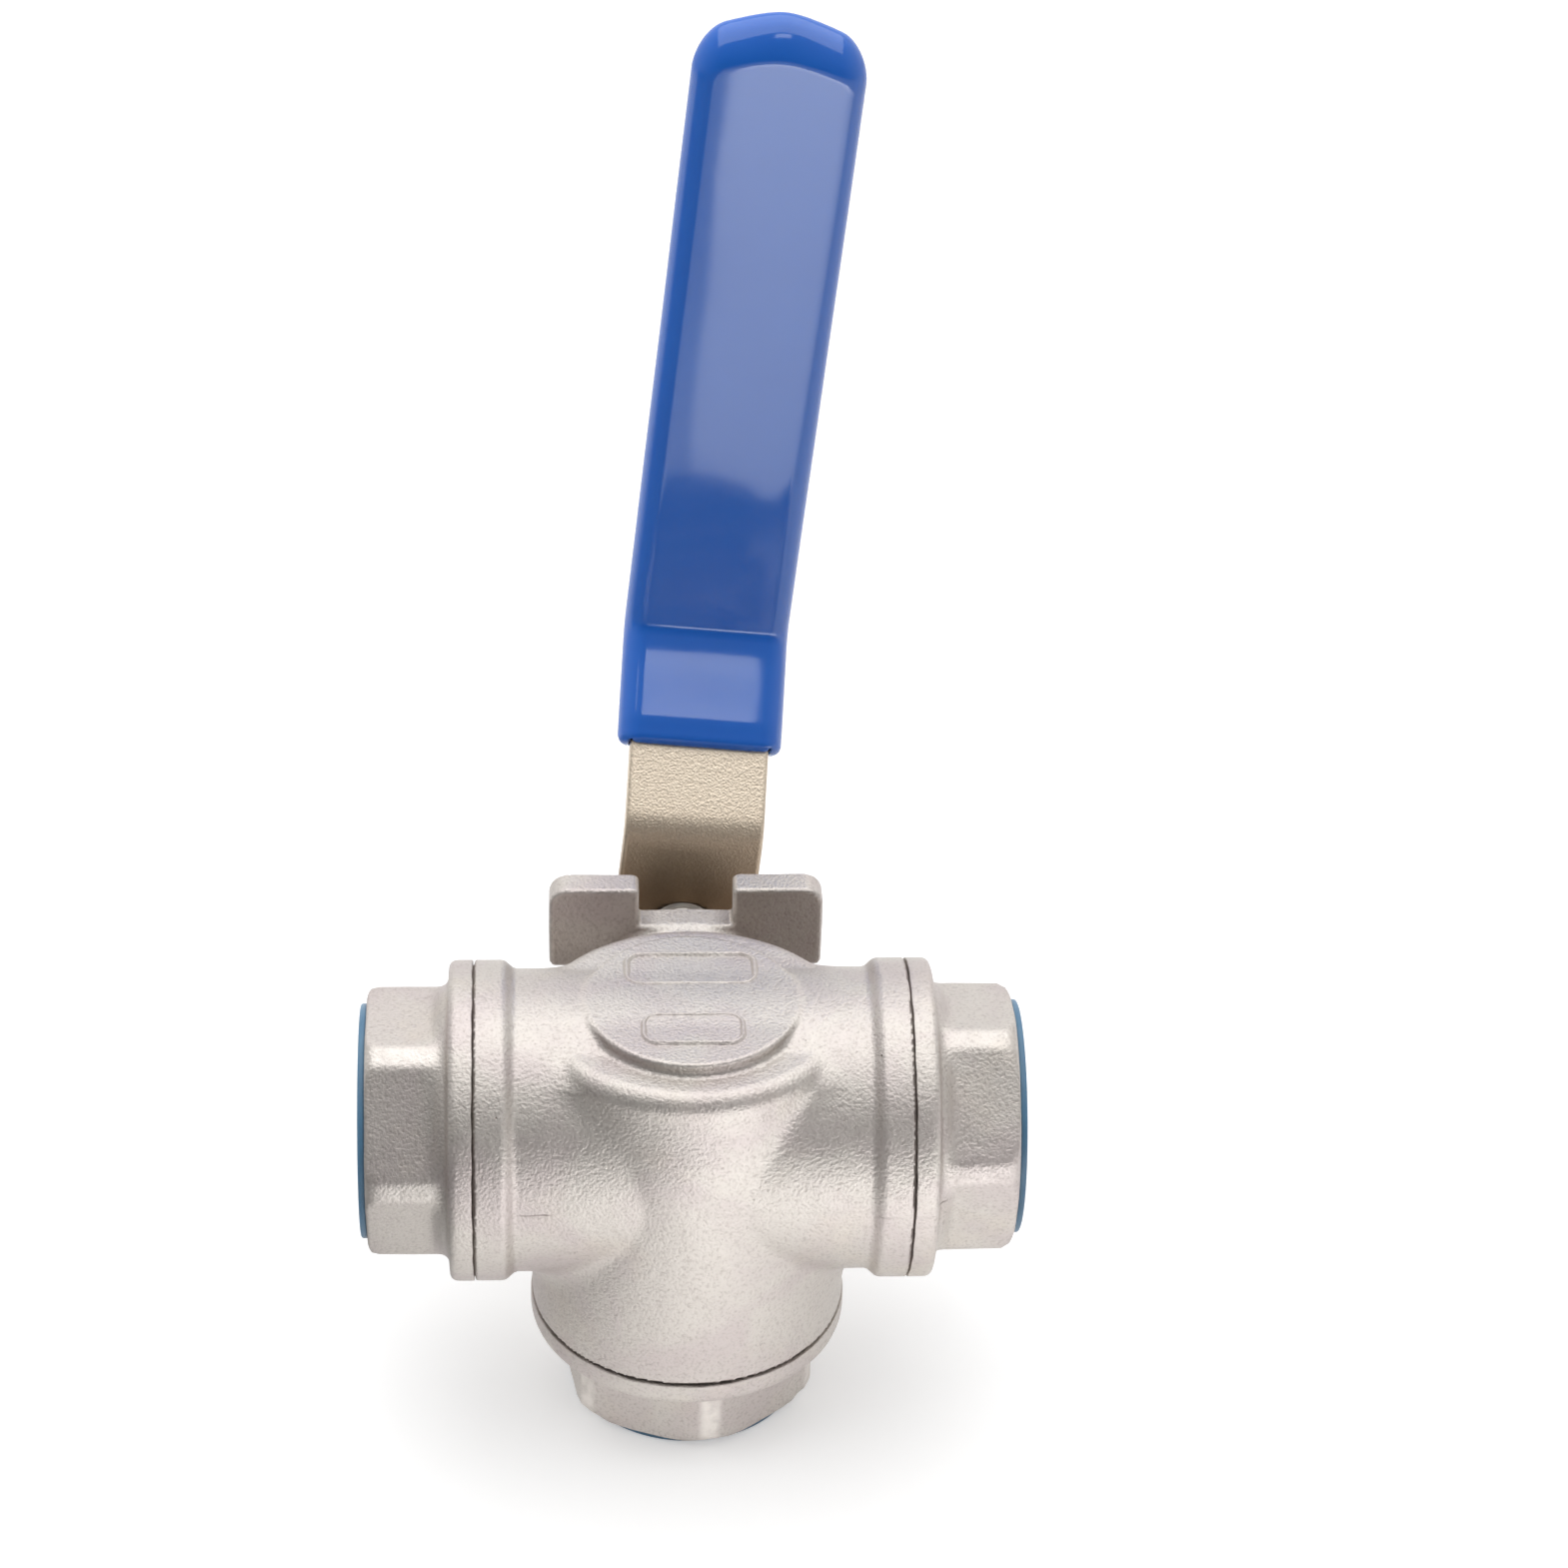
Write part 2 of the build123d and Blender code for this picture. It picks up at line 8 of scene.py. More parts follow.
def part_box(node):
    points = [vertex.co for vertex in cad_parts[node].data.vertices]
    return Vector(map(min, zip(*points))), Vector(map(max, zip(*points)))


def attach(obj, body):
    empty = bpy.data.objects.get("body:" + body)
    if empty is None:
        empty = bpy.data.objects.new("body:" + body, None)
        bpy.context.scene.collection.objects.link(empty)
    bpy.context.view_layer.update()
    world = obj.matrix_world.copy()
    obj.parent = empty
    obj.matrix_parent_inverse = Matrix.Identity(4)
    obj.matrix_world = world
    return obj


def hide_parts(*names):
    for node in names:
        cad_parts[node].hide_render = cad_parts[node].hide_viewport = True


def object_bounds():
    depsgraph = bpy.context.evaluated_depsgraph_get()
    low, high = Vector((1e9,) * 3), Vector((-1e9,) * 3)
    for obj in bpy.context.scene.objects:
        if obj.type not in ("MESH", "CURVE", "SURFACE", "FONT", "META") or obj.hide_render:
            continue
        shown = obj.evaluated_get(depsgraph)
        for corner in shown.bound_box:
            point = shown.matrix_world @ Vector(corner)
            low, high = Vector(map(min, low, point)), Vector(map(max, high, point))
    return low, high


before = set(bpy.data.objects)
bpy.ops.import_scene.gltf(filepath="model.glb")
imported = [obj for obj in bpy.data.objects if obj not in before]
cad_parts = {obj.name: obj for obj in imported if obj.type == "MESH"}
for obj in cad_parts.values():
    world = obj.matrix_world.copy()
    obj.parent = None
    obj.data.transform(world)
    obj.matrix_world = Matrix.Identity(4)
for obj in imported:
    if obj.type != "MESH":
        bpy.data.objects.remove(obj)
cad_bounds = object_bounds()

# ---- Valve body ------------------------------------------------------------------------------
# One investment casting in stainless steel: a barrel between the side ports, a column down to
# the third port, a round boss on the closed side, and a square actuator pad on a neck. It is
# bead blasted all over, and only its joint faces and bores are turned.
mm = 0.001
cap_corners = np.array([*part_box("dust_cap_left"), *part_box("dust_cap_right")])
centre = cap_corners.mean(axis=0)                       # the ball's centre, where the ports meet
body_low, body_high = (np.array(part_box("body")) - centre) / mm

seam = body_high[0]
pad_top = body_high[1]
flange_radius = -body_low[1]
flange_ring_width = 4.65
flange_round = 1.2
flange_root = 1.0
turned_edge = 0.15                                      # what the tool leaves round faces and bores
barrel_radius = 20.2
column_radius = 21.2
column_taper = 1.7                                      # front and back lean in by this at the top
taper_start = 3.0
taper_end = 17.0
column_top = 18.0
shoulder_round = 2.6
crossing_reach = 8.5                                    # how far the valley's fillet runs up each side
boss_radius = 14.3
boss_top = 19.95
boss_round = 0.45
boss_root = 0.8
neck_radius = 12.6
neck_root = 2.5
neck_end = pad_top - 1.0                                # inside the pad
pad_half_width = 18.75
pad_thickness = 4.2
pad_corner = 2.6
pad_edge_round = 0.6
pad_root = 1.2
top_notch = 6.45                                        # half its width
side_notch = 5.9
notch_depth = 6.0
notch_round = 0.5
notch_corner = 0.8
open_end = 40.0                                         # past every face, where a bore is open
# bores: radius, start and end, each for the ball, an end cap's spigot and its joint ring; for the
# seat over the ball; and for the stem's collar, the stem, its packing and the pad's recess
port_bores = ((14.9, -1.0, 15.8), (16.6, 15.8, open_end), (18.4, 27.8, open_end))
top_bores = ((11.6, -1.0, 16.2),)
stem_bores = ((7.4, 0.0, 18.35), (5.05, 0.0, 22.0), (8.0, 21.75, open_end), (11.5, 29.4, open_end))
casting_waves = 0.04
body_step = 0.52


def round_union(one, other, radius):
    """Union of two distance fields, with a round fillet where their surfaces meet square."""
    corner = np.hypot(np.maximum(radius - one, 0), np.maximum(radius - other, 0))
    return np.maximum(radius, np.minimum(one, other)) - corner


def round_cut(one, other, radius):
    """What two distance fields share, with a rounded edge where their surfaces meet square."""
    corner = np.hypot(np.maximum(radius + one, 0), np.maximum(radius + other, 0))
    return np.minimum(-radius, np.maximum(one, other)) + corner


def soft_union(one, other, reach):
    """Union of two distance fields whose valley is filled, more gently than by an arc, over that
    reach up each side."""
    overlap = np.maximum(1 - np.abs(one - other) / np.maximum(reach, 1e-3), 0)
    return np.minimum(one, other) - reach * overlap**3 / 6


def ramp(value, start, end):
    """0 before start, 1 after end, and a smooth step between them."""
    share = np.clip((value - start) / (end - start), 0, 1)
    return share * share * (3 - 2 * share)


def unevenness(x, y, z):
    """The slow rise and fall, from -1 to 1, of a cast or dipped surface: two sets of sine waves,
    about a centimetre long, each bent by slower ones."""
    across = np.sin(0.61 * x + 2.0 * np.sin(0.23 * z)) * np.sin(0.53 * y + 1.0)
    along = np.sin(0.47 * z + 1.5 * np.sin(0.31 * x + 0.20 * y))
    return 0.5 * (across + along)


def rounded_square(x, z):
    """Distance to the pad's outline before it is notched: a square with round corners."""
    width, height = (np.abs(place) - pad_half_width + pad_corner for place in (x, z))
    corner = np.hypot(np.maximum(width, 0), np.maximum(height, 0)) - pad_corner
    return corner + np.minimum(np.maximum(width, height), 0)


def column_field(y, z, off_x, off_z):
    """Distance to the column, a cylinder whose front and back lean in towards its top, and how
    open its valley with the barrel is: 0 where the two surfaces run side by side, 1 where they
    meet square, from the cosine of half the angle between their slopes."""
    side = off_z - column_radius
    side = side + column_taper * ramp(z, taper_start, taper_end) * (y / np.maximum(off_z, 1)) ** 2
    outward = np.maximum(shoulder_round + side, 1e-3)
    upward = np.maximum(shoulder_round + z - column_top, 0)
    cosine = y * y * outward / np.maximum(off_z, 1) + z * upward
    cosine = cosine / np.maximum(off_x, 1) / np.hypot(outward, upward)
    openness = (np.sqrt(2 / (1 + np.clip(cosine, 0, 1))) - 1) / (np.sqrt(2) - 1)
    column = round_cut(side, z - column_top, shoulder_round)
    return round_cut(column, -z - seam, turned_edge), openness


def casting(x, y, z):
    """Distance to the body's surface, less than zero in the metal: rounded cylinders and a
    notched square, joined with fillets, less the bores."""
    off_x, off_y, off_z = np.hypot(y, z), np.hypot(x, z), np.hypot(x, y)
    reach = np.abs(x)
    ring = round_cut(off_x - flange_radius, seam - flange_ring_width - reach, flange_round)
    ring = round_cut(ring, reach - seam, turned_edge)
    barrel = round_union(np.maximum(off_x - barrel_radius, reach - seam), ring, flange_root)
    column, openness = column_field(y, z, off_x, off_z)
    metal = soft_union(barrel, column, crossing_reach * openness)
    boss = np.maximum(round_cut(off_z - boss_radius, z - boss_top, boss_round), -z)
    metal = round_union(metal, boss, boss_root)
    neck = np.maximum(off_y - neck_radius, np.maximum(-y, y - neck_end))
    metal = round_union(metal, neck, neck_root)
    plan = rounded_square(x, z)
    sideways, upright = (reach, np.abs(z), side_notch), (np.abs(z), reach, top_notch)
    for along, across, half_width in (sideways, upright):
        notch = round_cut(across - half_width, pad_half_width - notch_depth - along, notch_round)
        plan = round_cut(plan, -notch, notch_corner)
    off_middle = np.abs(y - pad_top + pad_thickness / 2)
    pad = round_cut(plan, off_middle - pad_thickness / 2, pad_edge_round)
    metal = round_union(metal, pad, pad_root) + casting_waves * unevenness(x, y, z)
    ports, bottom = (off_x, reach, port_bores), (off_z, -z, port_bores)
    top, back = (off_z, z, top_bores), (off_y, y, stem_bores)
    for off_axis, along, bores in (ports, bottom, top, back):
        for radius, start, end in bores:
            hole = np.maximum(off_axis - radius, np.maximum(start - along, along - end))
            metal = round_cut(metal, -hole, turned_edge)
    return metal


def surface_net(distance, low, high, step):
    """Mesh of a distance field's zero surface: one point in each grid cell that it crosses and a
    quad round each grid edge that it crosses. The points are then evened out and slid along the
    field's slope until they lie on the surface, whose normals are that slope."""
    axes = [np.arange(start, end + step, step) for start, end in zip(low, high)]
    inside = distance(*np.meshgrid(*axes, indexing="ij")) < 0
    spans = [(slice(0, -1), slice(1, None))] * 3
    filled = sum(inside[corner].astype(int) for corner in product(*spans))
    crossed = (filled > 0) & (filled < 8)
    number = np.cumsum(crossed).reshape(crossed.shape) - 1
    points = np.array(low) + (np.argwhere(crossed) + 0.5) * step
    quads = []
    for axis in range(3):
        grid, cells = np.moveaxis(inside, axis, 0), np.moveaxis(number, axis, 0)
        before, after = grid[:-1, 1:-1, 1:-1], grid[1:, 1:-1, 1:-1]
        cut = before != after
        around = (cells[:, :-1, :-1], cells[:, 1:, :-1], cells[:, 1:, 1:], cells[:, :-1, 1:])
        faces = np.stack([cell[cut] for cell in around], axis=1)
        backwards = before[cut] == (axis == 1)
        faces[backwards] = faces[backwards, ::-1]
        quads.append(faces)
    quads = np.concatenate(quads)
    corners = quads.ravel()
    uses = np.bincount(corners)[:, None]

    def slope(places, reach):
        """Rise of the distance per millimetre along x, y and z, measured over reach each way."""
        shifts = reach * np.eye(3)
        rises = [distance(*(places + s).T) - distance(*(places - s).T) for s in shifts]
        return np.stack(rises, axis=1) / (2 * reach)

    for evening in (False, True, True, True):
        if evening:
            middles = np.repeat(points[quads].mean(axis=1), 4, axis=0)
            points = np.stack([np.bincount(corners, part) for part in middles.T], axis=1) / uses
        for _ in range(3):
            down = slope(points, 0.02)
            move = distance(*points.T) / np.maximum((down * down).sum(axis=1), 0.2)
            points = points - down * np.clip(move, -step, step)[:, None]
    normals = slope(points, 0.08)
    normals /= np.maximum(np.linalg.norm(normals, axis=1, keepdims=True), 1e-9)
    return points, quads, normals


def new_piece(name, points, faces, body, slot, material, normals=None, **shades):
    """Mesh piece from points in millimetres from the ball's centre and rows of corner numbers.
    Shades are values from 0 to 1 at the points, such as shelter, which nears 1 deep in a corner."""
    corners = points[faces]
    turned = np.cross(corners[:, 1] - corners[:, 0], corners[:, 2] - corners[:, 0])
    turned += np.cross(corners[:, 2] - corners[:, 0], corners[:, 3] - corners[:, 0])
    # the faces enclose a volume below zero when they look inwards
    if (turned * corners.mean(axis=1)).sum() < 0:
        faces = faces[:, ::-1]
    mesh = bpy.data.meshes.new(name)
    mesh.vertices.add(len(points))
    mesh.vertices.foreach_set("co", (centre + points * mm).ravel())
    mesh.loops.add(faces.size)
    mesh.loops.foreach_set("vertex_index", faces.ravel())
    mesh.polygons.add(len(faces))
    mesh.polygons.foreach_set("loop_start", np.arange(0, faces.size, 4))
    mesh.update(calc_edges=True)
    mesh.validate()
    mesh.shade_smooth()
    if normals is not None:
        mesh.normals_split_custom_set_from_vertices(normals)
    for shade, values in shades.items():
        mesh.attributes.new(shade, "FLOAT", "POINT").data.foreach_set("value", values)
    mesh.materials.append(material)
    piece = bpy.data.objects.new(name, mesh)
    bpy.context.scene.collection.objects.link(piece)
    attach(piece, body)
    return piece


def empty_tree(owner):
    """Node tree of a material, lamp or world, cleared for new nodes."""
    owner.use_nodes = True
    owner.node_tree.nodes.clear()
    return owner.node_tree


def add(tree, kind, inputs=None, **settings):
    """Adds a shader node with its settings and inputs. An input goes by name, or by number where
    names repeat. It is a value, a socket, or a node, which gives its first output in use."""
    node = tree.nodes.new("ShaderNode" + kind)
    for name, value in settings.items():
        setattr(node, name, value)
    for name, value in (inputs or {}).items():
        if isinstance(name, str):
            socket = next(each for each in node.inputs if each.name == name and each.enabled)
        else:
            socket = node.inputs[name]
        if isinstance(value, bpy.types.Node):
            value = next(each for each in value.outputs if each.enabled)
        if isinstance(value, bpy.types.NodeSocket):
            tree.links.new(value, socket)
        else:
            socket.default_value = value
    return node


def linear(code):
    """Linear colour of an sRGB hex code."""
    value = np.array([int(code[i:i + 2], 16) for i in (1, 3, 5)]) / 255
    value = np.where(value <= 0.04045, value / 12.92, ((value + 0.055) / 1.055) ** 2.4)
    return (*value, 1.0)


def blasted_casting():
    """Investment-cast stainless steel, bead blasted: a pearly, warm grey metal with a fine rolling
    grain, faint rosy and sallow patches and a few pits. It blurs what it reflects."""
    material = bpy.data.materials.new("blasted_casting")
    tree = empty_tree(material)
    place = add(tree, "TexCoord").outputs["Object"]
    # blasting dimples are 0.2 mm across; drawn at 0.42 mm so that they show
    grain = add(tree, "TexNoise", {"Vector": place, "Scale": 1 / (0.42 * mm), "Detail": 2.0})
    swell = add(tree, "TexNoise", {"Vector": place, "Scale": 1 / (1.7 * mm), "Detail": 2.0})
    patch = add(tree, "TexNoise", {
        "Vector": place, "Scale": 1 / (13 * mm), "Detail": 4.0, "Distortion": 0.8,
    })
    tint = add(tree, "TexNoise", {
        "Vector": place, "Scale": 1 / (9 * mm), "Detail": 3.0, "W": 4.0,
    }, noise_dimensions="4D")
    rosy = add(tree, "MapRange", {"Value": patch, "From Min": 0.42, "From Max": 0.62})
    sallow = add(tree, "MapRange", {
        "Value": tint, "From Min": 0.55, "From Max": 0.75, "To Max": 0.5,
    })
    # the bottoms of the grain are dark
    hollow = add(tree, "MapRange", {
        "Value": grain, "From Min": 0.25, "From Max": 0.5, "To Min": 0.6, "To Max": 0.0,
    })
    # painted shade darkens the metal deep in corners, and a painted highlight brightens the hexagons'
    # corners
    shelter = add(tree, "Attribute", attribute_name="shelter").outputs["Fac"]
    painted_shade = add(tree, "MapRange", {"Value": shelter, "From Min": 0.6, "To Max": 0.5})
    rubbed = add(tree, "Attribute", attribute_name="rubbed").outputs["Fac"]
    highlight_share = add(tree, "MapRange", {
        "Value": swell, "From Min": 0.7, "From Max": 0.4, "To Min": 0.3,
    })
    highlight_share = add(tree, "Math", {0: rubbed, 1: highlight_share}, operation="MULTIPLY")
    # pits: one in each few 5 mm cells, about 0.3 mm across
    cells = add(tree, "TexVoronoi", {"Vector": place, "Scale": 1 / (5 * mm)})
    chosen = add(tree, "SeparateColor", {"Color": cells.outputs["Color"]})
    chosen = add(tree, "Math", {0: chosen, 1: 0.72}, operation="GREATER_THAN")
    near = add(tree, "MapRange", {
        "Value": cells, "From Min": 0.02, "From Max": 0.045, "To Min": 1.0, "To Max": 0.0,
    })
    pit = add(tree, "Math", {0: near, 1: chosen}, operation="MULTIPLY")
    # parting line: a fine fin across the middle, mostly dressed away, with a dark crack in places
    off_line = add(tree, "SeparateXYZ", {"Vector": place}).outputs["Z"]
    off_line = add(tree, "Math", {0: off_line, 1: -centre[2]}, operation="ADD")
    off_line = add(tree, "Math", {0: swell, 1: 0.5 * mm, 2: off_line}, operation="MULTIPLY_ADD")
    off_line = add(tree, "Math", {0: off_line, 1: 0.25 * mm, 2: 0.12 * mm}, operation="COMPARE")
    kept = add(tree, "MapRange", {"Value": tint, "From Min": 0.45, "From Max": 0.62})
    fin = add(tree, "Math", {0: off_line, 1: kept}, operation="MULTIPLY")
    crack = add(tree, "MapRange", {
        "Value": patch, "From Min": 0.56, "From Max": 0.60, "To Max": 0.7,
    })
    crack = add(tree, "Math", {0: crack, 1: fin}, operation="MULTIPLY")
    # the clean metal's colour, and what is laid over it in turn, each by its own share
    colour = linear("#cfc9c3")
    # among these, #7d736c is painted shade and #e9e3dd a painted highlight
    for share, over in (
        (rosy, "#cac1be"), (sallow, "#d2c9be"), (hollow, "#aaa19c"), (painted_shade, "#7d736c"),
        (highlight_share, "#e9e3dd"), (pit, "#80766f"), (crack, "#6f655e"),
    ):
        layer = {"Factor": share, "A": colour, "B": linear(over)}
        colour = add(tree, "Mix", layer, data_type="RGBA")
    # and the same for its height, in shares of the grain's
    height = grain
    for relief, share in ((swell, 0.25), (pit, -1.2), (fin, 0.5)):
        height = add(tree, "Math", {0: relief, 1: share, 2: height}, operation="MULTIPLY_ADD")
    bump = add(tree, "Bump", {"Height": height, "Strength": 1.0, "Distance": 0.12 * mm})
    rough = add(tree, "MapRange", {"Value": swell, "To Min": 0.46, "To Max": 0.56})
    surface = add(tree, "BsdfPrincipled", {
        "Base Color": colour, "Metallic": 1.0, "Roughness": rough, "Normal": bump,
    })
    add(tree, "OutputMaterial", {"Surface": surface})
    return material


casting_finish = blasted_casting()
points, faces, normals = surface_net(casting, body_low - 1.5, body_high + 1.5, body_step)
# how far the metal round about falls short of leaving each place open, over this reach: the casting's
# painted shade follows it
shelter_reach = 6.0
shelter = np.clip(1 - casting(*(points + shelter_reach * normals).T) / shelter_reach, 0, 1)
# the front face of the upper right lug is darkened as much as a deep corner
tone_patch = ramp(points[:, 0] - top_notch, -0.45, 0.55) * ramp(points[:, 2] - side_notch, -0.9, 0.1)
tone_patch = tone_patch * ramp(-normals[:, 1], 0.6, 0.95)
on_face = np.abs(points[:, 1] - pad_top + pad_thickness) < pad_edge_round
shelter = np.maximum(shelter, tone_patch * on_face)
valve_body = new_piece("valve_body_casting", points, faces, "valve_body", "cast_steel",
                       casting_finish, normals, shelter=shelter)
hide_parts("body")

# ---- Boss frames -----------------------------------------------------------------------------
# Two raised borders cast into the boss's face, one above the other, where such valves carry
# their markings. They are low rounded beads of the same metal, and what they frame is left bare.
bead_half_width = 0.48
bead_height = 0.42
bead_sink = 0.03                                        # how far its edges lie under the face
bead_root = 0.25                                        # and how far its foot does
frame_corner = 2.0
boss_frames = (
    # name, half its width, half its height, how far up its middle is
    ("boss_frame_upper", 8.5, 3.3, 6.6),
    ("boss_frame_lower", 6.5, 3.0, -6.5),
)


def border(half_width, half_height, middle_y):
    """Rounded rectangle on the boss's face, swept with a bell-shaped bead: the path is a circle
    whose quarters are moved out to the corners, and each row across it is one place on the bead."""
    turn = np.linspace(0, 2 * np.pi, 160, endpoint=False)
    quarter = np.floor(turn / (np.pi / 2)).astype(int)
    signs = np.array([(1, 1), (-1, 1), (-1, -1), (1, -1)])[quarter]
    outward = np.stack([np.cos(turn), np.sin(turn)], axis=1)
    straights = np.array([half_width, half_height]) - frame_corner
    path = signs * straights + frame_corner * outward
    across = np.linspace(-1, 1, 9)
    rise = bead_height * (1 - across**2) ** 2 - bead_sink
    offsets = np.concatenate([across, across[::-1]]) * bead_half_width
    levels = np.concatenate([rise, np.full(len(across), -bead_root)])
    flat = path[:, None, :] + outward[:, None, :] * offsets[None, :, None]
    level = np.broadcast_to(boss_top + levels, flat.shape[:2])
    return np.stack([flat[..., 0], flat[..., 1] + middle_y, level], axis=-1)


def grid_piece(name, grid, body, slot, material, loop_rows=True, **shades):
    """Mesh piece from a grid of points whose columns, and if asked rows, close on themselves."""
    rows, columns = grid.shape[:2]
    row = np.arange(rows if loop_rows else rows - 1)[:, None]
    column = np.arange(columns)[None, :]
    next_row, next_column = (row + 1) % rows, (column + 1) % columns
    faces = np.stack([row * columns + column, next_row * columns + column,
                      next_row * columns + next_column, row * columns + next_column], axis=-1)
    return new_piece(name, grid.reshape(-1, 3), faces.reshape(-1, 4), body, slot, material, **shades)


for name, half_width, half_height, middle_y in boss_frames:
    bead = border(half_width, half_height, middle_y)
    grid_piece(name, bead, "valve_body", "cast_steel", casting_finish)

# ---- End caps --------------------------------------------------------------------------------
# Three castings like the body, screwed into its ports: a spigot that holds the seat, a round
# flange, and a hexagon with its corners turned down, tapped for a 3/4 inch pipe thread.
cap_low, cap_high = (np.array(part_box("end_cap_right")) - centre) / mm
port_reach = cap_high[0]
spigot_tip = cap_low[0]
joint_gap = 0.22
cap_face = seam + joint_gap
flange_end = cap_face + 3.2
seat_radius = 11.6
seat_back = 16.2
spigot_radius = 16.5
spigot_lead = 3.9                                       # length of the cone at its tip
waterway_radius = 8.0
waterway_cone = 3.0
half_hexagon = 16.15
turned_radius = 17.85
thread_radius = 12.1
thread_start = port_reach - 14.0
thread_pitch = 1.814                                    # fourteen turns to the inch
thread_depth = 1.16
mouth_radius = 13.4
mouth_start = port_reach - 2.2
bevel_slope = 1.73                                      # 30 degrees off the end face
outside_waves = 0.05
gap_waves = ((3, 1.0, 0.04), (11, 0.0, 0.03), (29, 0.0, 0.03))  # count round the joint, start, size
hexagon_corner = {"left": 6, "right": 13, "bottom": 9}  # degrees from straight ahead
hexagon_bevel = {"left": 16.9, "right": 16.4, "bottom": 16.1}  # radius left of the end face
hexagon_highlight = {"left": 0.45, "right": 0.15, "bottom": 1.0}  # how bright a highlight is painted along its corners
port_frames = {                                         # outward, then the way the angle opens
    "left": ((-1, 0, 0), (0, 0, 1)),
    "right": ((1, 0, 0), (0, 0, 1)),
    "bottom": ((0, 0, -1), (1, 0, 0)),
}


def rounded_profile(corners, spacing):
    """Closed outline through corners of (along, radius, rounding). Each corner is a parabola that
    touches its two sides where an arc of that rounding would, and the straights are cut into
    lengths of about the spacing."""
    places = np.array([corner[:2] for corner in corners], float)
    curves = []
    for index, corner in enumerate(corners):
        rounding = corner[2]
        here, following = places[index], places[(index + 1) % len(corners)]
        into, out = here - places[index - 1], following - here
        into, out = into / np.linalg.norm(into), out / np.linalg.norm(out)
        half_turn = np.arccos(np.clip(into @ out, -1, 1)) / 2
        setback = rounding * np.tan(half_turn)
        start, end = here - into * setback, here + out * setback
        share = np.linspace(0, 1, 6 if rounding else 1)[:, None]
        curves.append((1 - share) ** 2 * start + 2 * share * (1 - share) * here + share**2 * end)
    rows = []
    for curve, following in zip(curves, curves[1:] + curves[:1]):
        gap = following[0] - curve[-1]
        lengths = max(1, int(np.linalg.norm(gap) / spacing))
        rows += [curve, curve[-1] + gap * np.arange(1, lengths)[:, None] / lengths]
    return np.concatenate(rows)


def soft_least(one, other, blend):
    """The smaller of two values, rounded off where they are nearly the same."""
    return np.minimum(one, other) - np.maximum(blend - np.abs(one - other), 0) ** 2 / (4 * blend)


end_cap_outline = rounded_profile((
    (seat_back, waterway_radius, 0), (seat_back, seat_radius, 0), (spigot_tip, seat_radius, 0),
    (spigot_tip, seat_radius + 1.0, 0.2), (spigot_tip + spigot_lead, spigot_radius, 0.2),
    (cap_face, spigot_radius, 0), (cap_face, flange_radius, turned_edge),
    (flange_end, flange_radius, flange_round), (flange_end, turned_radius, 1.7),
    (port_reach - 2.5, turned_radius, 0), (port_reach, turned_radius, 0.5),
    (port_reach, mouth_radius, 0.3), (mouth_start, mouth_radius, 0.2),
    (mouth_start, thread_radius, 0), (thread_start, thread_radius, 0),
    (thread_start - waterway_cone, waterway_radius, 0),
), 0.75)
# the thread's own stretch has rows close enough together for its wave
thread_rows = np.linspace(mouth_start - 0.05, thread_start + 0.05, 92)
tapped = (end_cap_outline[:, 1] == thread_radius) & (end_cap_outline[:, 0] < mouth_start)
first = np.argmax(tapped)
end_cap_outline = np.concatenate([
    end_cap_outline[:first],
    np.stack([thread_rows, np.full(len(thread_rows), thread_radius)], axis=1),
    end_cap_outline[first:][~tapped[first:]],
])


def end_cap(side):
    """Outline turned about the port: each row is one place on the outline, each column one angle.
    On the hexagon the radius follows its flats, held in by the turned corners and end bevel, and
    in the port it follows a pipe thread's triangular wave, which climbs with the angle. Gives the
    points, and how much painted highlight each carries."""
    outward, opening = (np.array(vector, float) for vector in port_frames[side])
    front = np.array([0.0, -1.0, 0.0])
    sense = np.cross(front, opening) @ outward          # 1 where the angle turns right-handed
    angle = np.linspace(0, 2 * np.pi, 320, endpoint=False)[None, :]
    along, radius = end_cap_outline[:, :1], end_cap_outline[:, 1:]
    half_flat = np.pi / 6                               # angle from a flat's middle to its corner
    from_middle = (angle - np.radians(hexagon_corner[side])) % (2 * half_flat) - half_flat
    bevel = hexagon_bevel[side] + bevel_slope * (port_reach - along)
    bevel = soft_least(turned_radius, bevel, 0.8)
    hexagon = soft_least(half_hexagon / np.cos(from_middle), bevel, 0.25)
    on_hexagon = ramp(along, flange_end + 0.9, flange_end + 2.1)
    on_hexagon = on_hexagon * ramp(radius, mouth_radius + 0.4, half_hexagon)
    # a bright highlight is painted along the hexagon's corners
    near_corner = ramp(np.abs(from_middle), half_flat - 0.11, half_flat - 0.03)
    rubbed = hexagon_highlight[side] * on_hexagon * near_corner
    wave = 1 - np.abs(2 * ((along / thread_pitch - sense * angle / (2 * np.pi)) % 1) - 1)
    thread = thread_depth * ramp(wave, 0.05, 0.95) * (np.abs(radius - thread_radius) < 1e-6)
    thread = thread * ramp(along, thread_start, thread_start + 2)
    thread = thread * ramp(mouth_start - along, 0, 0.8)
    radius = radius + on_hexagon * (hexagon - turned_radius) + thread
    # the joint's gap is a hair wider in some places than in others
    on_face = ramp(radius, spigot_radius + 0.5, flange_radius - 1) * (along < cap_face + 0.5)
    waves = sum(size * np.sin(count * angle + start) for count, start, size in gap_waves)
    along = along + on_face * waves
    outside = ramp(along, cap_face - 0.5, cap_face) * (radius > mouth_radius + 0.3)
    away = np.cos(angle)[..., None] * front + np.sin(angle)[..., None] * opening
    points = radius[..., None] * away + along[..., None] * outward
    swell = outside * outside_waves * unevenness(*np.moveaxis(points + 7.0, -1, 0))
    return points + swell[..., None] * away, rubbed


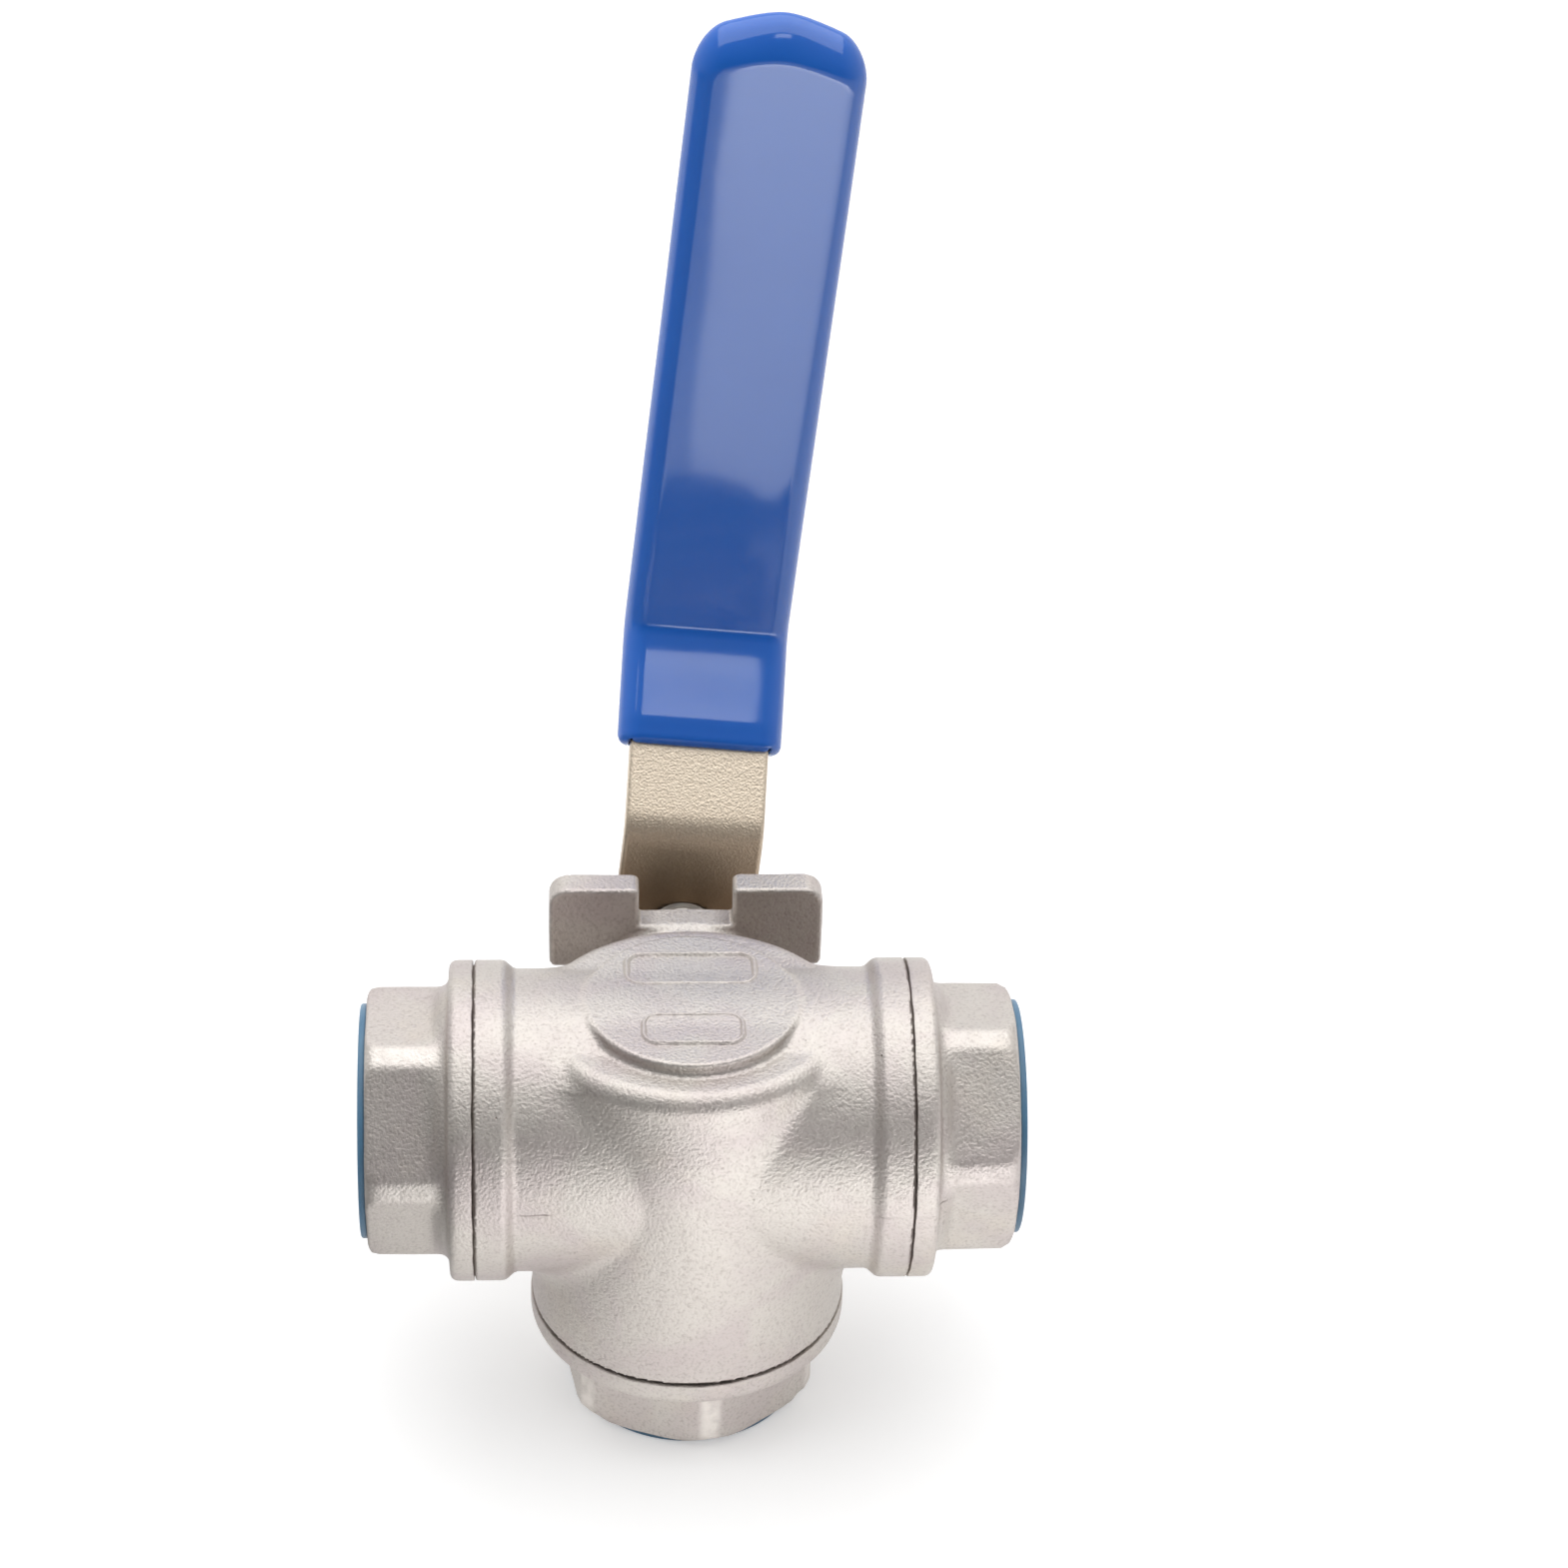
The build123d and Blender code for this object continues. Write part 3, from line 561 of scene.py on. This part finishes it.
for side in port_frames:
    cap_points, rubbed = end_cap(side)
    cap = grid_piece(f"end_cap_casting_{side}", cap_points, "valve_body", "cast_steel",
                     casting_finish, rubbed=rubbed.ravel())
    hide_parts(f"end_cap_{side}")

# ---- Dust caps -------------------------------------------------------------------------------
# Thin moulded polyethylene discs pushed into the ports for shipping: a flange as wide as the
# hexagon's flats, a shallow ring step on its face, the moulding's gate in the middle, and a
# short skirt. The plastic is slightly see-through, so its rim is lighter than its face.
dust_cap_radius = 15.65
dust_cap_face = port_reach + 0.9
face_step = 0.25
step_radius = 12.5
gate_radius = 0.7
skirt_radius = 13.3
skirt_inner_radius = 12.4
skirt_draft = 0.15
skirt_end = port_reach - 2.0
pole_radius = 0.02                                      # how nearly the outline's ends meet the axis


def moulded_polyethylene():
    """Blue polyethylene, moulded: a waxy half-gloss skin over a cloudy plastic that light enters."""
    material = bpy.data.materials.new("blue_polyethylene")
    tree = empty_tree(material)
    place = add(tree, "TexCoord").outputs["Object"]
    cloud = add(tree, "TexNoise", {"Vector": place, "Scale": 1 / (6 * mm), "Detail": 3.0})
    scuff = add(tree, "TexNoise", {"Vector": place, "Scale": 1 / (0.8 * mm), "Detail": 4.0})
    tones = {"Factor": cloud, "A": linear("#406a8a"), "B": linear("#5c86a3")}
    colour = add(tree, "Mix", tones, data_type="RGBA")
    rough = add(tree, "MapRange", {"Value": scuff, "To Min": 0.30, "To Max": 0.50})
    bump = add(tree, "Bump", {"Height": scuff, "Strength": 0.5, "Distance": 0.03 * mm})
    surface = add(tree, "BsdfPrincipled", {
        "Base Color": colour, "Roughness": rough, "IOR": 1.51, "Normal": bump,
        "Subsurface Weight": 0.25, "Subsurface Radius": (0.4, 0.8, 1.0),
        "Subsurface Scale": 1.5 * mm,
    })
    add(tree, "OutputMaterial", {"Surface": surface})
    return material


dust_cap_outline = rounded_profile((
    (dust_cap_face - 0.12, pole_radius, 0), (dust_cap_face - 0.02, gate_radius, 0.1),
    (dust_cap_face - face_step, gate_radius + 0.5, 0.1),
    (dust_cap_face - face_step, step_radius - 0.5, 0.1), (dust_cap_face, step_radius, 0.1),
    (dust_cap_face, dust_cap_radius, 0.35), (port_reach, dust_cap_radius, 0.25),
    (port_reach, skirt_radius, 0.1), (skirt_end, skirt_radius - skirt_draft, 0.25),
    (skirt_end, skirt_inner_radius, 0.25), (port_reach, skirt_inner_radius, 0.3),
    (port_reach + 0.1, pole_radius, 0),
), 1.2)


def turned(outline, outward, opening, columns):
    """Outline of (along, radius) turned about an axis through the ball's centre."""
    angle = np.linspace(0, 2 * np.pi, columns, endpoint=False)[None, :, None]
    outward, opening = np.array(outward, float), np.array(opening, float)
    away = np.cos(angle) * opening + np.sin(angle) * np.cross(outward, opening)
    return outline[:, :1, None] * outward + outline[:, 1:, None] * away


cap_plastic = moulded_polyethylene()
for side, (outward, opening) in port_frames.items():
    dust_cap = grid_piece(f"dust_cap_moulding_{side}", turned(dust_cap_outline, outward, opening, 192),
                          f"{side}_dust_cap", "dust_cap_plastic", cap_plastic)
    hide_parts(f"dust_cap_{side}")

# ---- Joint rings, seats and packing ----------------------------------------------------------
# Turned rings of PTFE: one in each joint, one on each side of the ball, and a stack round the
# stem under the gland. The plastic is a waxy white with faint lathe marks.
soft_rings = [f"body_gasket_{side}" for side in port_frames]
soft_rings += [f"seat_{side}" for side in (*port_frames, "top")]
soft_rings += ["stem_thrust_washer", "packing_ring_1", "packing_ring_2", "packing_ring_3"]


def turned_ptfe():
    """PTFE, turned: waxy, cloudy white, with the tool's marks 0.25 mm apart."""
    material = bpy.data.materials.new("turned_ptfe")
    tree = empty_tree(material)
    place = add(tree, "TexCoord").outputs["Object"]
    cloud = add(tree, "TexNoise", {"Vector": place, "Scale": 1 / (4 * mm), "Detail": 3.0})
    marks = add(tree, "TexNoise", {"Vector": place, "Scale": 1 / (0.25 * mm), "Detail": 1.0})
    tones = {"Factor": cloud, "A": linear("#e4e3dd"), "B": linear("#f1f0ec")}
    colour = add(tree, "Mix", tones, data_type="RGBA")
    bump = add(tree, "Bump", {"Height": marks, "Strength": 0.4, "Distance": 0.02 * mm})
    surface = add(tree, "BsdfPrincipled", {
        "Base Color": colour, "Roughness": 0.45, "IOR": 1.35, "Normal": bump,
    })
    add(tree, "OutputMaterial", {"Surface": surface})
    return material


def refinish(names, material):
    """Gives the frame's own pieces a material."""
    for name in names:
        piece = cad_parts[name]
        piece.data.materials.clear()
        piece.data.materials.append(material)


refinish(soft_rings, turned_ptfe())

# ---- Ball ------------------------------------------------------------------------------------
# A ground and polished stainless steel ball with a straight bore and a branch, seen down a port
# when its dust cap is off. Its skin is a near mirror with faint polishing lines.


def steel(name, light, dark, roughness, mark_size, mark_depth, stretch):
    """Stainless steel: a grey metal whose tool marks are noise drawn out along one way."""
    material = bpy.data.materials.new(name)
    tree = empty_tree(material)
    place = add(tree, "TexCoord").outputs["Object"]
    drawn = add(tree, "Mapping", {"Vector": place, "Scale": stretch})
    marks = add(tree, "TexNoise", {"Vector": drawn, "Scale": 1 / mark_size, "Detail": 3.0})
    tone_patch = add(tree, "TexNoise", {"Vector": place, "Scale": 1 / (5 * mm), "Detail": 3.0})
    tones = {"Factor": tone_patch, "A": linear(dark), "B": linear(light)}
    colour = add(tree, "Mix", tones, data_type="RGBA")
    rough = add(tree, "MapRange", {
        "Value": marks, "To Min": roughness * 0.8, "To Max": roughness * 1.2,
    })
    bump = add(tree, "Bump", {"Height": marks, "Strength": 0.6, "Distance": mark_depth})
    surface = add(tree, "BsdfPrincipled", {
        "Base Color": colour, "Metallic": 1.0, "Roughness": rough, "Normal": bump,
    })
    add(tree, "OutputMaterial", {"Surface": surface})
    return material


polished = steel("polished_ball", "#d3d2cf", "#c2c1be", 0.10, 0.4 * mm, 0.005 * mm, (1, 1, 1))
refinish(["ball"], polished)

# ---- Stem ------------------------------------------------------------------------------------
# A turned stainless steel stem: a tang in the ball's slot, a collar that keeps it in the body,
# an M10 thread up its whole free length, and two milled flats that drive the lever.
stem_low, stem_high = (np.array(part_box("stem")) - centre) / mm
stem_radius = 5.0
stem_thread_start = (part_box("stem_nut")[0].y - centre[1]) / mm
lever_seat = (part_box("lever")[0].y - centre[1]) / mm
stem_pitch = 1.5
stem_thread_depth = 0.85
tip_chamfer = 0.9
flat_half_width = 3.75
collar_bottom = 14.9
collar_top = 17.1
collar_radius = 7.0
collar_chamfer = 0.2
tang_half_width = 2.9
tang_half_length = 6.4
lean = np.radians(5.5)                                  # the lever rests a little off straight up
lever_way = np.array([np.sin(lean), 0.0, np.cos(lean)])
stem_way = np.array([0.0, 1.0, 0.0])
side_way = np.cross(stem_way, lever_way)


def stem_surface():
    """Radius as a function of height and angle: a rectangle for the tang, a step for the collar,
    a triangular wave that climbs with the angle for the thread, cut by the two flats."""
    thread_rows = np.arange(stem_thread_start, stem_high[1] - 0.05, 0.12)
    heights = np.concatenate([
        [stem_low[1], stem_low[1], collar_bottom],
        [collar_bottom, collar_top - collar_chamfer, collar_top],
        [collar_top, stem_thread_start - 0.3], thread_rows, [stem_high[1], stem_high[1]],
    ])[:, None]
    row = np.arange(len(heights))[:, None]
    angle = np.linspace(0, 2 * np.pi, 144, endpoint=False)[None, :]
    cosine = np.maximum(np.abs(np.cos(angle)), 1e-6)
    sine = np.maximum(np.abs(np.sin(angle)), 1e-6)
    tang = np.minimum(tang_half_length / cosine, tang_half_width / sine)
    collar = np.where(row < 5, collar_radius, collar_radius - collar_chamfer)
    wave = np.abs(2 * ((heights / stem_pitch - angle / (2 * np.pi)) % 1) - 1)
    groove = ramp(wave, 0.1, 0.9) * ramp(heights, stem_thread_start, stem_thread_start + 1)
    shaft = stem_radius - stem_thread_depth * groove
    tip = stem_radius - tip_chamfer * ramp(heights, stem_high[1] - tip_chamfer, stem_high[1])
    shaft = np.minimum(shaft, tip)
    flats = np.where(heights > lever_seat - 0.2, flat_half_width / sine, np.inf)
    # the first three rows are the tang's, the next three the collar's, and the rest the shaft's
    radius = np.where(row < 3, tang, np.where(row < 6, collar, np.minimum(shaft, flats)))
    radius = np.where((row == 0) | (row == len(heights) - 1), 0.01, radius)
    across = np.cos(angle)[..., None] * lever_way + np.sin(angle)[..., None] * side_way
    return radius[..., None] * across + heights[..., None] * stem_way


machined = steel("machined_steel", "#c9c7c3", "#b3b0ab", 0.30, 0.25 * mm, 0.012 * mm, (1, 6, 1))
stem = grid_piece("threaded_stem", stem_surface(), "lever_and_ball", "machined_steel", machined,
                  loop_rows=False)
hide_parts("stem")

# ---- Gland, springs, nuts and washer ---------------------------------------------------------
# Turned and stamped stainless steel hardware on the stem: a gland ring over the packing, a pair
# of dished springs, the packing nut, the split washer and the nut that holds the lever.
refinish(["gland_ring", "stem_nut", "lever_nut", "lever_washer"], machined)
sprung = steel("spring_steel", "#a9a5a0", "#8d8984", 0.34, 0.3 * mm, 0.01 * mm, (1, 3, 1))
refinish(["disc_spring_lower", "disc_spring_upper"], sprung)

# ---- Lever -----------------------------------------------------------------------------------
# A strip of stainless steel, stamped with a round end and a flatted hole, then cranked twice so
# that the grip stands clear of the body. It is coarsely sand blasted, to a tan grey.
strip_half_width = 9.75
strip_thickness = 3.0
strip_middle = lever_seat + strip_thickness / 2
strip_edge_round = 0.45
strip_end_round = 4.0
hole_clearance = 0.1
reach_to_rise = 16.3
rise_length = 29.4
crank = np.radians(45)
bend_radius = 6.0
grip_start = reach_to_rise + rise_length * np.cos(crank)
grip_length = 95.4
tip_wall = 7.7                                          # vinyl past the strip's end
sleeve_tip = grip_start + grip_length
strip_tip = sleeve_tip - tip_wall
setback = bend_radius * np.tan(crank / 2)
first_bend = reach_to_rise - setback
second_bend = first_bend + bend_radius * crank + rise_length - 2 * setback
flattened = second_bend + bend_radius * crank - grip_start - setback  # strip length over reach


def cranked(strip, across, depth):
    """Places of a flat strip once it is cranked: strip is the length from the stem along the
    strip's middle, whose heading turns evenly over each bend, and depth is measured off it."""
    lengths = np.linspace(-20, 200, 4401)
    heading = crank * np.clip((lengths - first_bend) / (bend_radius * crank), 0, 1)
    heading -= crank * np.clip((lengths - second_bend) / (bend_radius * crank), 0, 1)
    stride = lengths[1] - lengths[0]
    reach = np.cumsum(np.cos(heading)) * stride
    height = np.cumsum(np.sin(heading)) * stride
    reach -= np.interp(0, lengths, reach)
    height += strip_middle - np.interp(0, lengths, height)
    heading = np.interp(strip, lengths, heading)
    reach = np.interp(strip, lengths, reach) - depth * np.sin(heading)
    height = np.interp(strip, lengths, height) + depth * np.cos(heading)
    return reach[..., None] * lever_way + across[..., None] * side_way + height[..., None] * stem_way


def strip_sides(strip, across):
    """Distance, in plan, to the strip's straight sides and its far end with round corners."""
    end = strip_tip + flattened
    return round_cut(np.abs(across) - strip_half_width, strip - end, strip_end_round)


def strip_field(strip, across, depth):
    """Distance to the flat strip: a bar with one round end, a flatted hole, and eased edges."""
    off_stem = np.hypot(strip, across)
    plan = np.where(strip < 0, off_stem - strip_half_width, strip_sides(strip, across))
    flats = np.abs(across) - flat_half_width - hole_clearance
    hole = round_cut(off_stem - stem_radius - hole_clearance, flats, 0.3)
    plan = round_cut(plan, -hole, 0.1)
    return round_cut(plan, np.abs(depth) - strip_thickness / 2, strip_edge_round)


def bent_normals(flat_points, flat_normals):
    """Normals of a cranked mesh: each flat normal carried by the same bend as its point."""
    tips = flat_points + 0.01 * flat_normals
    way = cranked(*tips.T) - cranked(*flat_points.T)
    return way / np.linalg.norm(way, axis=1, keepdims=True)


def sand_blasted_strip():
    """Stainless steel strip, blasted with coarse sand: a tan grey metal covered with pits and
    ridges a third of a millimetre wide. Near the stem it is smooth and painted a shaded brown."""
    material = bpy.data.materials.new("sand_blasted_strip")
    tree = empty_tree(material)
    place = add(tree, "TexCoord").outputs["Object"]
    grit = add(tree, "TexNoise", {
        "Vector": place, "Scale": 1 / (0.32 * mm), "Detail": 2.0, "Roughness": 0.6,
    })
    patch = add(tree, "TexNoise", {"Vector": place, "Scale": 1 / (8 * mm), "Detail": 3.0})
    hollow = add(tree, "MapRange", {
        "Value": grit, "From Min": 0.32, "From Max": 0.6, "To Min": 1.0, "To Max": 0.0,
    })
    scale = add(tree, "Attribute", attribute_name="scale").outputs["Fac"]
    colour = linear("#e6d7c3")
    # 8a6d50 is a brown painted shade near the stem
    for share, over in ((patch, "#f0e2ce"), (hollow, "#dccdb9"), (scale, "#8a6d50")):
        layer = {"Factor": share, "A": colour, "B": linear(over)}
        colour = add(tree, "Mix", layer, data_type="RGBA")
    crisp = add(tree, "Math", {0: 1.0, 1: scale}, operation="SUBTRACT")
    bump = add(tree, "Bump", {"Height": grit, "Strength": crisp, "Distance": 0.14 * mm})
    surface = add(tree, "BsdfPrincipled", {
        "Base Color": colour, "Metallic": 1.0, "Roughness": 0.42, "Normal": bump,
    })
    add(tree, "OutputMaterial", {"Surface": surface})
    return material


strip_low = np.array([-strip_half_width - 1, -strip_half_width - 1, -strip_thickness / 2 - 1])
strip_high = np.array([strip_tip + flattened + 1, strip_half_width + 1, strip_thickness / 2 + 1])
flat, faces, flat_normals = surface_net(strip_field, strip_low, strip_high, 0.5)
# painted shade: the strip is painted darker and browner towards the stem
brown_scale = 0.85 * (1 - ramp(flat[:, 0], first_bend - 9, first_bend + 8))
lever = new_piece("cranked_lever", cranked(*flat.T), faces, "lever_and_ball", "blasted_steel",
                  sand_blasted_strip(), bent_normals(flat, flat_normals), scale=brown_scale)
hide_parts("lever")

# ---- Lever sleeve ----------------------------------------------------------------------------
# A grip of soft blue vinyl, made by dipping the lever: it follows the strip round its upper bend,
# has full round edges and a soft gabled tip, and is glossy all over.
sleeve_half_width = 11.6
sleeve_half_depth = 3.2
sleeve_corner = 4.0
sleeve_edge_round = 3.0
tip_drop = 4.4
tip_lean = 3.0                                          # how far the end leans back over its depth
tip_bevel = 0.25                                        # slope of the front face's run-out
tip_bevel_length = 6.9
tip_easing = 3.0                                        # rounds the gable's peak and the run-out's start
face_crown = 0.35                                       # how much thinner the sides are
bend_swell = 0.4                                        # the dip runs together in the upper bend
bend_swell_length = 3.5
sleeve_start = 12.6                                     # length of bare rise below it
lip_start = first_bend + bend_radius * crank + sleeve_start - setback
lip_reach = 0.8                                         # how far its rounded edge comes down from there
lip_round = 1.4
lip_thinning = 0.3
lip_thinning_length = 3.5
sleeve_waves = 0.02
sleeve_clearance = 0.05


def eased(distance):
    """A hyperbola: level where the distance is 0, and as steep as the distance further on."""
    return np.hypot(distance, tip_easing) - tip_easing


def sleeve_field(strip, across, depth):
    """Distance to the sleeve, laid flat: a bar with a gabled end and crowned faces, hollowed for
    the strip. The front face has a negative depth."""
    end = sleeve_tip + flattened
    front = np.clip(-depth / sleeve_half_depth, 0, 1)
    gable = strip - end + tip_drop * eased(across) / sleeve_half_width
    gable = gable + tip_lean * (0.5 - 0.5 * depth / sleeve_half_depth)
    # divided by its own slope, so that it measures millimetres
    steepness = (tip_drop / sleeve_half_width) ** 2 + (tip_lean / sleeve_half_depth / 2) ** 2
    gable = gable / np.sqrt(1 + steepness)
    plan = round_cut(np.abs(across) - sleeve_half_width, gable, sleeve_corner)
    crown = face_crown * (np.abs(across) / sleeve_half_width) ** 4
    run_out = tip_bevel * eased(np.maximum(strip - end + tip_bevel_length, 0))
    off_bend = (strip - second_bend - bend_radius * crank / 2) / bend_swell_length
    crown = crown + front * (run_out - bend_swell * np.exp(-(off_bend**2)))
    crown = crown + lip_thinning * ramp(lip_start - strip, -lip_thinning_length, 0)
    body = round_cut(plan, np.abs(depth) - sleeve_half_depth + crown, sleeve_edge_round)
    body = round_cut(body, lip_start - lip_reach - strip, lip_round)
    body = body + sleeve_waves * unevenness(strip * 0.3, across * 0.5, depth)
    pocket = np.maximum(strip_sides(strip, across), np.abs(depth) - strip_thickness / 2)
    return round_cut(body, sleeve_clearance - pocket, 0.15)


def dipped_vinyl():
    """Plasticised vinyl, dipped: a deep royal blue under a wet-looking skin, with faint ripples
    where it ran, and a little light passing through its thin edges."""
    material = bpy.data.materials.new("dipped_vinyl")
    tree = empty_tree(material)
    place = add(tree, "TexCoord").outputs["Object"]
    cloud = add(tree, "TexNoise", {"Vector": place, "Scale": 1 / (15 * mm), "Detail": 2.0})
    ripple = add(tree, "TexNoise", {
        "Vector": place, "Scale": 1 / (7 * mm), "Detail": 2.0, "Roughness": 0.4,
    })
    scuff = add(tree, "TexNoise", {"Vector": place, "Scale": 1 / (1.5 * mm), "Detail": 5.0})
    tones = {"Factor": cloud, "A": linear("#1a62c4"), "B": linear("#1e69cb")}
    colour = add(tree, "Mix", tones, data_type="RGBA")
    rough = add(tree, "MapRange", {"Value": scuff, "To Min": 0.07, "To Max": 0.12})
    bump = add(tree, "Bump", {"Height": ripple, "Strength": 0.5, "Distance": 0.03 * mm})
    surface = add(tree, "BsdfPrincipled", {
        "Base Color": colour, "Roughness": rough, "IOR": 1.65, "Normal": bump,
        "Subsurface Weight": 0.15, "Subsurface Radius": (0.2, 0.5, 1.0),
        "Subsurface Scale": 1.5 * mm,
    })
    add(tree, "OutputMaterial", {"Surface": surface})
    return material


sleeve_low = np.array([lip_start - 1, -sleeve_half_width - 1, -sleeve_half_depth - 1])
sleeve_high = np.array([sleeve_tip + flattened + 1, sleeve_half_width + 1, sleeve_half_depth + 1])
flat, faces, flat_normals = surface_net(sleeve_field, sleeve_low, sleeve_high, 0.55)
sleeve = new_piece("dipped_sleeve", cranked(*flat.T), faces, "lever_and_ball", "blue_vinyl",
                   dipped_vinyl(), bent_normals(flat, flat_normals))
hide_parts("lever_sleeve")

# ---- Camera ----------------------------------------------------------------------------------
# A long lens looks down on the valve from the front, a little to its left.
view_elevation, view_azimuth, view_roll = np.radians([34.257, -3.551, -1.745])
view_distance = 625.4
view_offset = (12.61, 44.78)                            # to the right and up from the ball, in mm
level = Vector((np.cos(view_azimuth), np.sin(view_azimuth), 0))
back = Vector((np.sin(view_azimuth) * np.cos(view_elevation),
               -np.cos(view_azimuth) * np.cos(view_elevation), np.sin(view_elevation)))
rise = back.cross(level)
right = level * np.cos(view_roll) - rise * np.sin(view_roll)
up = level * np.sin(view_roll) + rise * np.cos(view_roll)
eye = Vector(centre) + mm * (right * view_offset[0] + up * view_offset[1] + back * view_distance)
camera = bpy.data.objects.new("camera", bpy.data.cameras.new("camera"))
camera.matrix_world = Matrix.Translation(eye) @ Matrix((right, up, back)).transposed().to_4x4()
camera.data.lens = 107.08
camera.data.sensor_width = 36.0
camera.data.clip_start = 0.01
bpy.context.scene.collection.objects.link(camera)
bpy.context.scene.camera = camera

# ---- Floor -----------------------------------------------------------------------------------
# A plain white sweep that the valve stands on. It keeps the valve's soft shadow. In the metal's
# reflections it glows, most of all round the valve, except for a grey stretch to the front left.
floor_half = 2.5
floor_level = cad_bounds[0].z
white_lift = 0.36                                       # what makes it pure white to the camera
ways = ((-1, -1), (1, -1), (1, 1), (-1, 1))
floor_corners = [(floor_half * x, floor_half * y, floor_level) for x, y in ways]
floor_mesh = bpy.data.meshes.new("floor")
floor_mesh.from_pydata(floor_corners, [], [(0, 1, 2, 3)])
floor = bpy.data.objects.new("floor", floor_mesh)
bpy.context.scene.collection.objects.link(floor)
white_sweep = bpy.data.materials.new("white_sweep")
tree = empty_tree(white_sweep)
rays = add(tree, "LightPath")
mirrored = rays.outputs["Is Glossy Ray"]
place = add(tree, "TexCoord").outputs["Object"]
spot = add(tree, "SeparateXYZ", {"Vector": place})
leftward = add(tree, "MapRange", {"Value": spot.outputs["X"], "From Min": -0.03, "From Max": -0.08})
forward = add(tree, "MapRange", {"Value": spot.outputs["Y"], "From Min": 0.14, "From Max": 0.04})
grey = add(tree, "Math", {0: leftward, 1: forward}, operation="MULTIPLY")
grey = add(tree, "Math", {0: grey, 1: mirrored}, operation="MULTIPLY")
tones = {"Factor": grey, "A": linear("#e6e6e6"), "B": linear("#8c8c8c")}
matt = add(tree, "BsdfDiffuse", {"Color": add(tree, "Mix", tones, data_type="RGBA")})
bright = add(tree, "Math", {0: mirrored, 1: grey}, operation="SUBTRACT")
# brightest within 40 mm of a spot just ahead of the valve, and evenly dim 120 mm from it
near = add(tree, "VectorMath", {0: place, 1: (0.0, -0.1, 0.0)}, operation="DISTANCE")
near = add(tree, "MapRange", {
    "Value": near, "From Min": 0.12, "From Max": 0.04, "To Min": 0.25, "To Max": 0.65,
})
bright = add(tree, "Math", {0: bright, 1: near}, operation="MULTIPLY")
glow = {0: rays.outputs["Is Camera Ray"], 1: white_lift, 2: bright}
glow = add(tree, "Math", glow, operation="MULTIPLY_ADD")
glow = add(tree, "Emission", {"Color": (1, 1, 1, 1), "Strength": glow})
add(tree, "OutputMaterial", {"Surface": add(tree, "AddShader", {0: matt, 1: glow})})
floor_mesh.materials.append(white_sweep)

# ---- Light -----------------------------------------------------------------------------------
# Soft studio light: a large softbox overhead, a small one ahead of it, and a white card on the
# floor ahead of the valve that only glossy surfaces mirror, brighter away from the valve. The
# room is white behind the valve and dim before it.
softboxes = (
    # name, middle from the ball, size, power in watts, seen by matt surfaces
    ("overhead_softbox", (0.05, 0.15, 0.80), (1.2, 1.06), 5.5, True),
    ("forward_softbox", (0.131, -0.507, 0.80), (0.237, 0.154), 0.285, True),
    ("front_card", (0.1765, -0.295, -0.042), (0.347, 0.41), 1.7, False),
)
for name, middle, (width, height), power, lights_matt in softboxes:
    lamp = bpy.data.lights.new(name, "AREA")
    lamp.shape = "RECTANGLE"
    lamp.size, lamp.size_y, lamp.energy = width, height, power
    if not lights_matt:
        tree = empty_tree(lamp)
        spot = add(tree, "SeparateXYZ", {"Vector": add(tree, "NewGeometry").outputs["Position"]})
        ahead = add(tree, "MapRange", {
            "Value": spot.outputs["Y"], "From Min": -0.07, "From Max": -0.42,
        })
        ahead = add(tree, "Math", {0: ahead, 1: 0.7}, operation="POWER")
        shine = add(tree, "Emission", {"Color": (1, 1, 1, 1), "Strength": ahead})
        add(tree, "OutputLight", {"Surface": shine})
    softbox = bpy.data.objects.new(name, lamp)
    # a lamp shines down its own Z axis: these face the ball's level from above or below
    facing = Vector((0, 0, np.sign(middle[2]))).to_track_quat("Z", "Y").to_matrix().to_4x4()
    softbox.matrix_world = Matrix.Translation(Vector(centre) + Vector(middle)) @ facing
    softbox.visible_camera = False
    softbox.visible_diffuse = lights_matt
    bpy.context.scene.collection.objects.link(softbox)

world = bpy.data.worlds.new("studio")
bpy.context.scene.world = world
tree = empty_tree(world)
rays = add(tree, "LightPath")
way = add(tree, "TexCoord").outputs["Generated"]
rooms = []
# how the room's brightness changes with the way looked in, and its level, for matt and for glossy
for slope, level in (((-0.22, 0.4, 0.3), 0.45), ((0.05, 0.55, 0.0), 0.64)):
    bright = add(tree, "VectorMath", {0: way, 1: slope}, operation="DOT_PRODUCT")
    bright = add(tree, "Math", {0: bright, 1: level}, operation="ADD")
    rooms.append(add(tree, "Background", {"Color": (1, 1, 1, 1), "Strength": bright}))
rooms.append(add(tree, "Background", {"Color": (1, 1, 1, 1), "Strength": 1.0}))
room = add(tree, "MixShader", {0: rays.outputs["Is Glossy Ray"], 1: rooms[0], 2: rooms[1]})
room = add(tree, "MixShader", {0: rays.outputs["Is Camera Ray"], 1: room, 2: rooms[2]})
add(tree, "OutputWorld", {"Surface": room})

bpy.context.scene.view_settings.view_transform = "Standard"
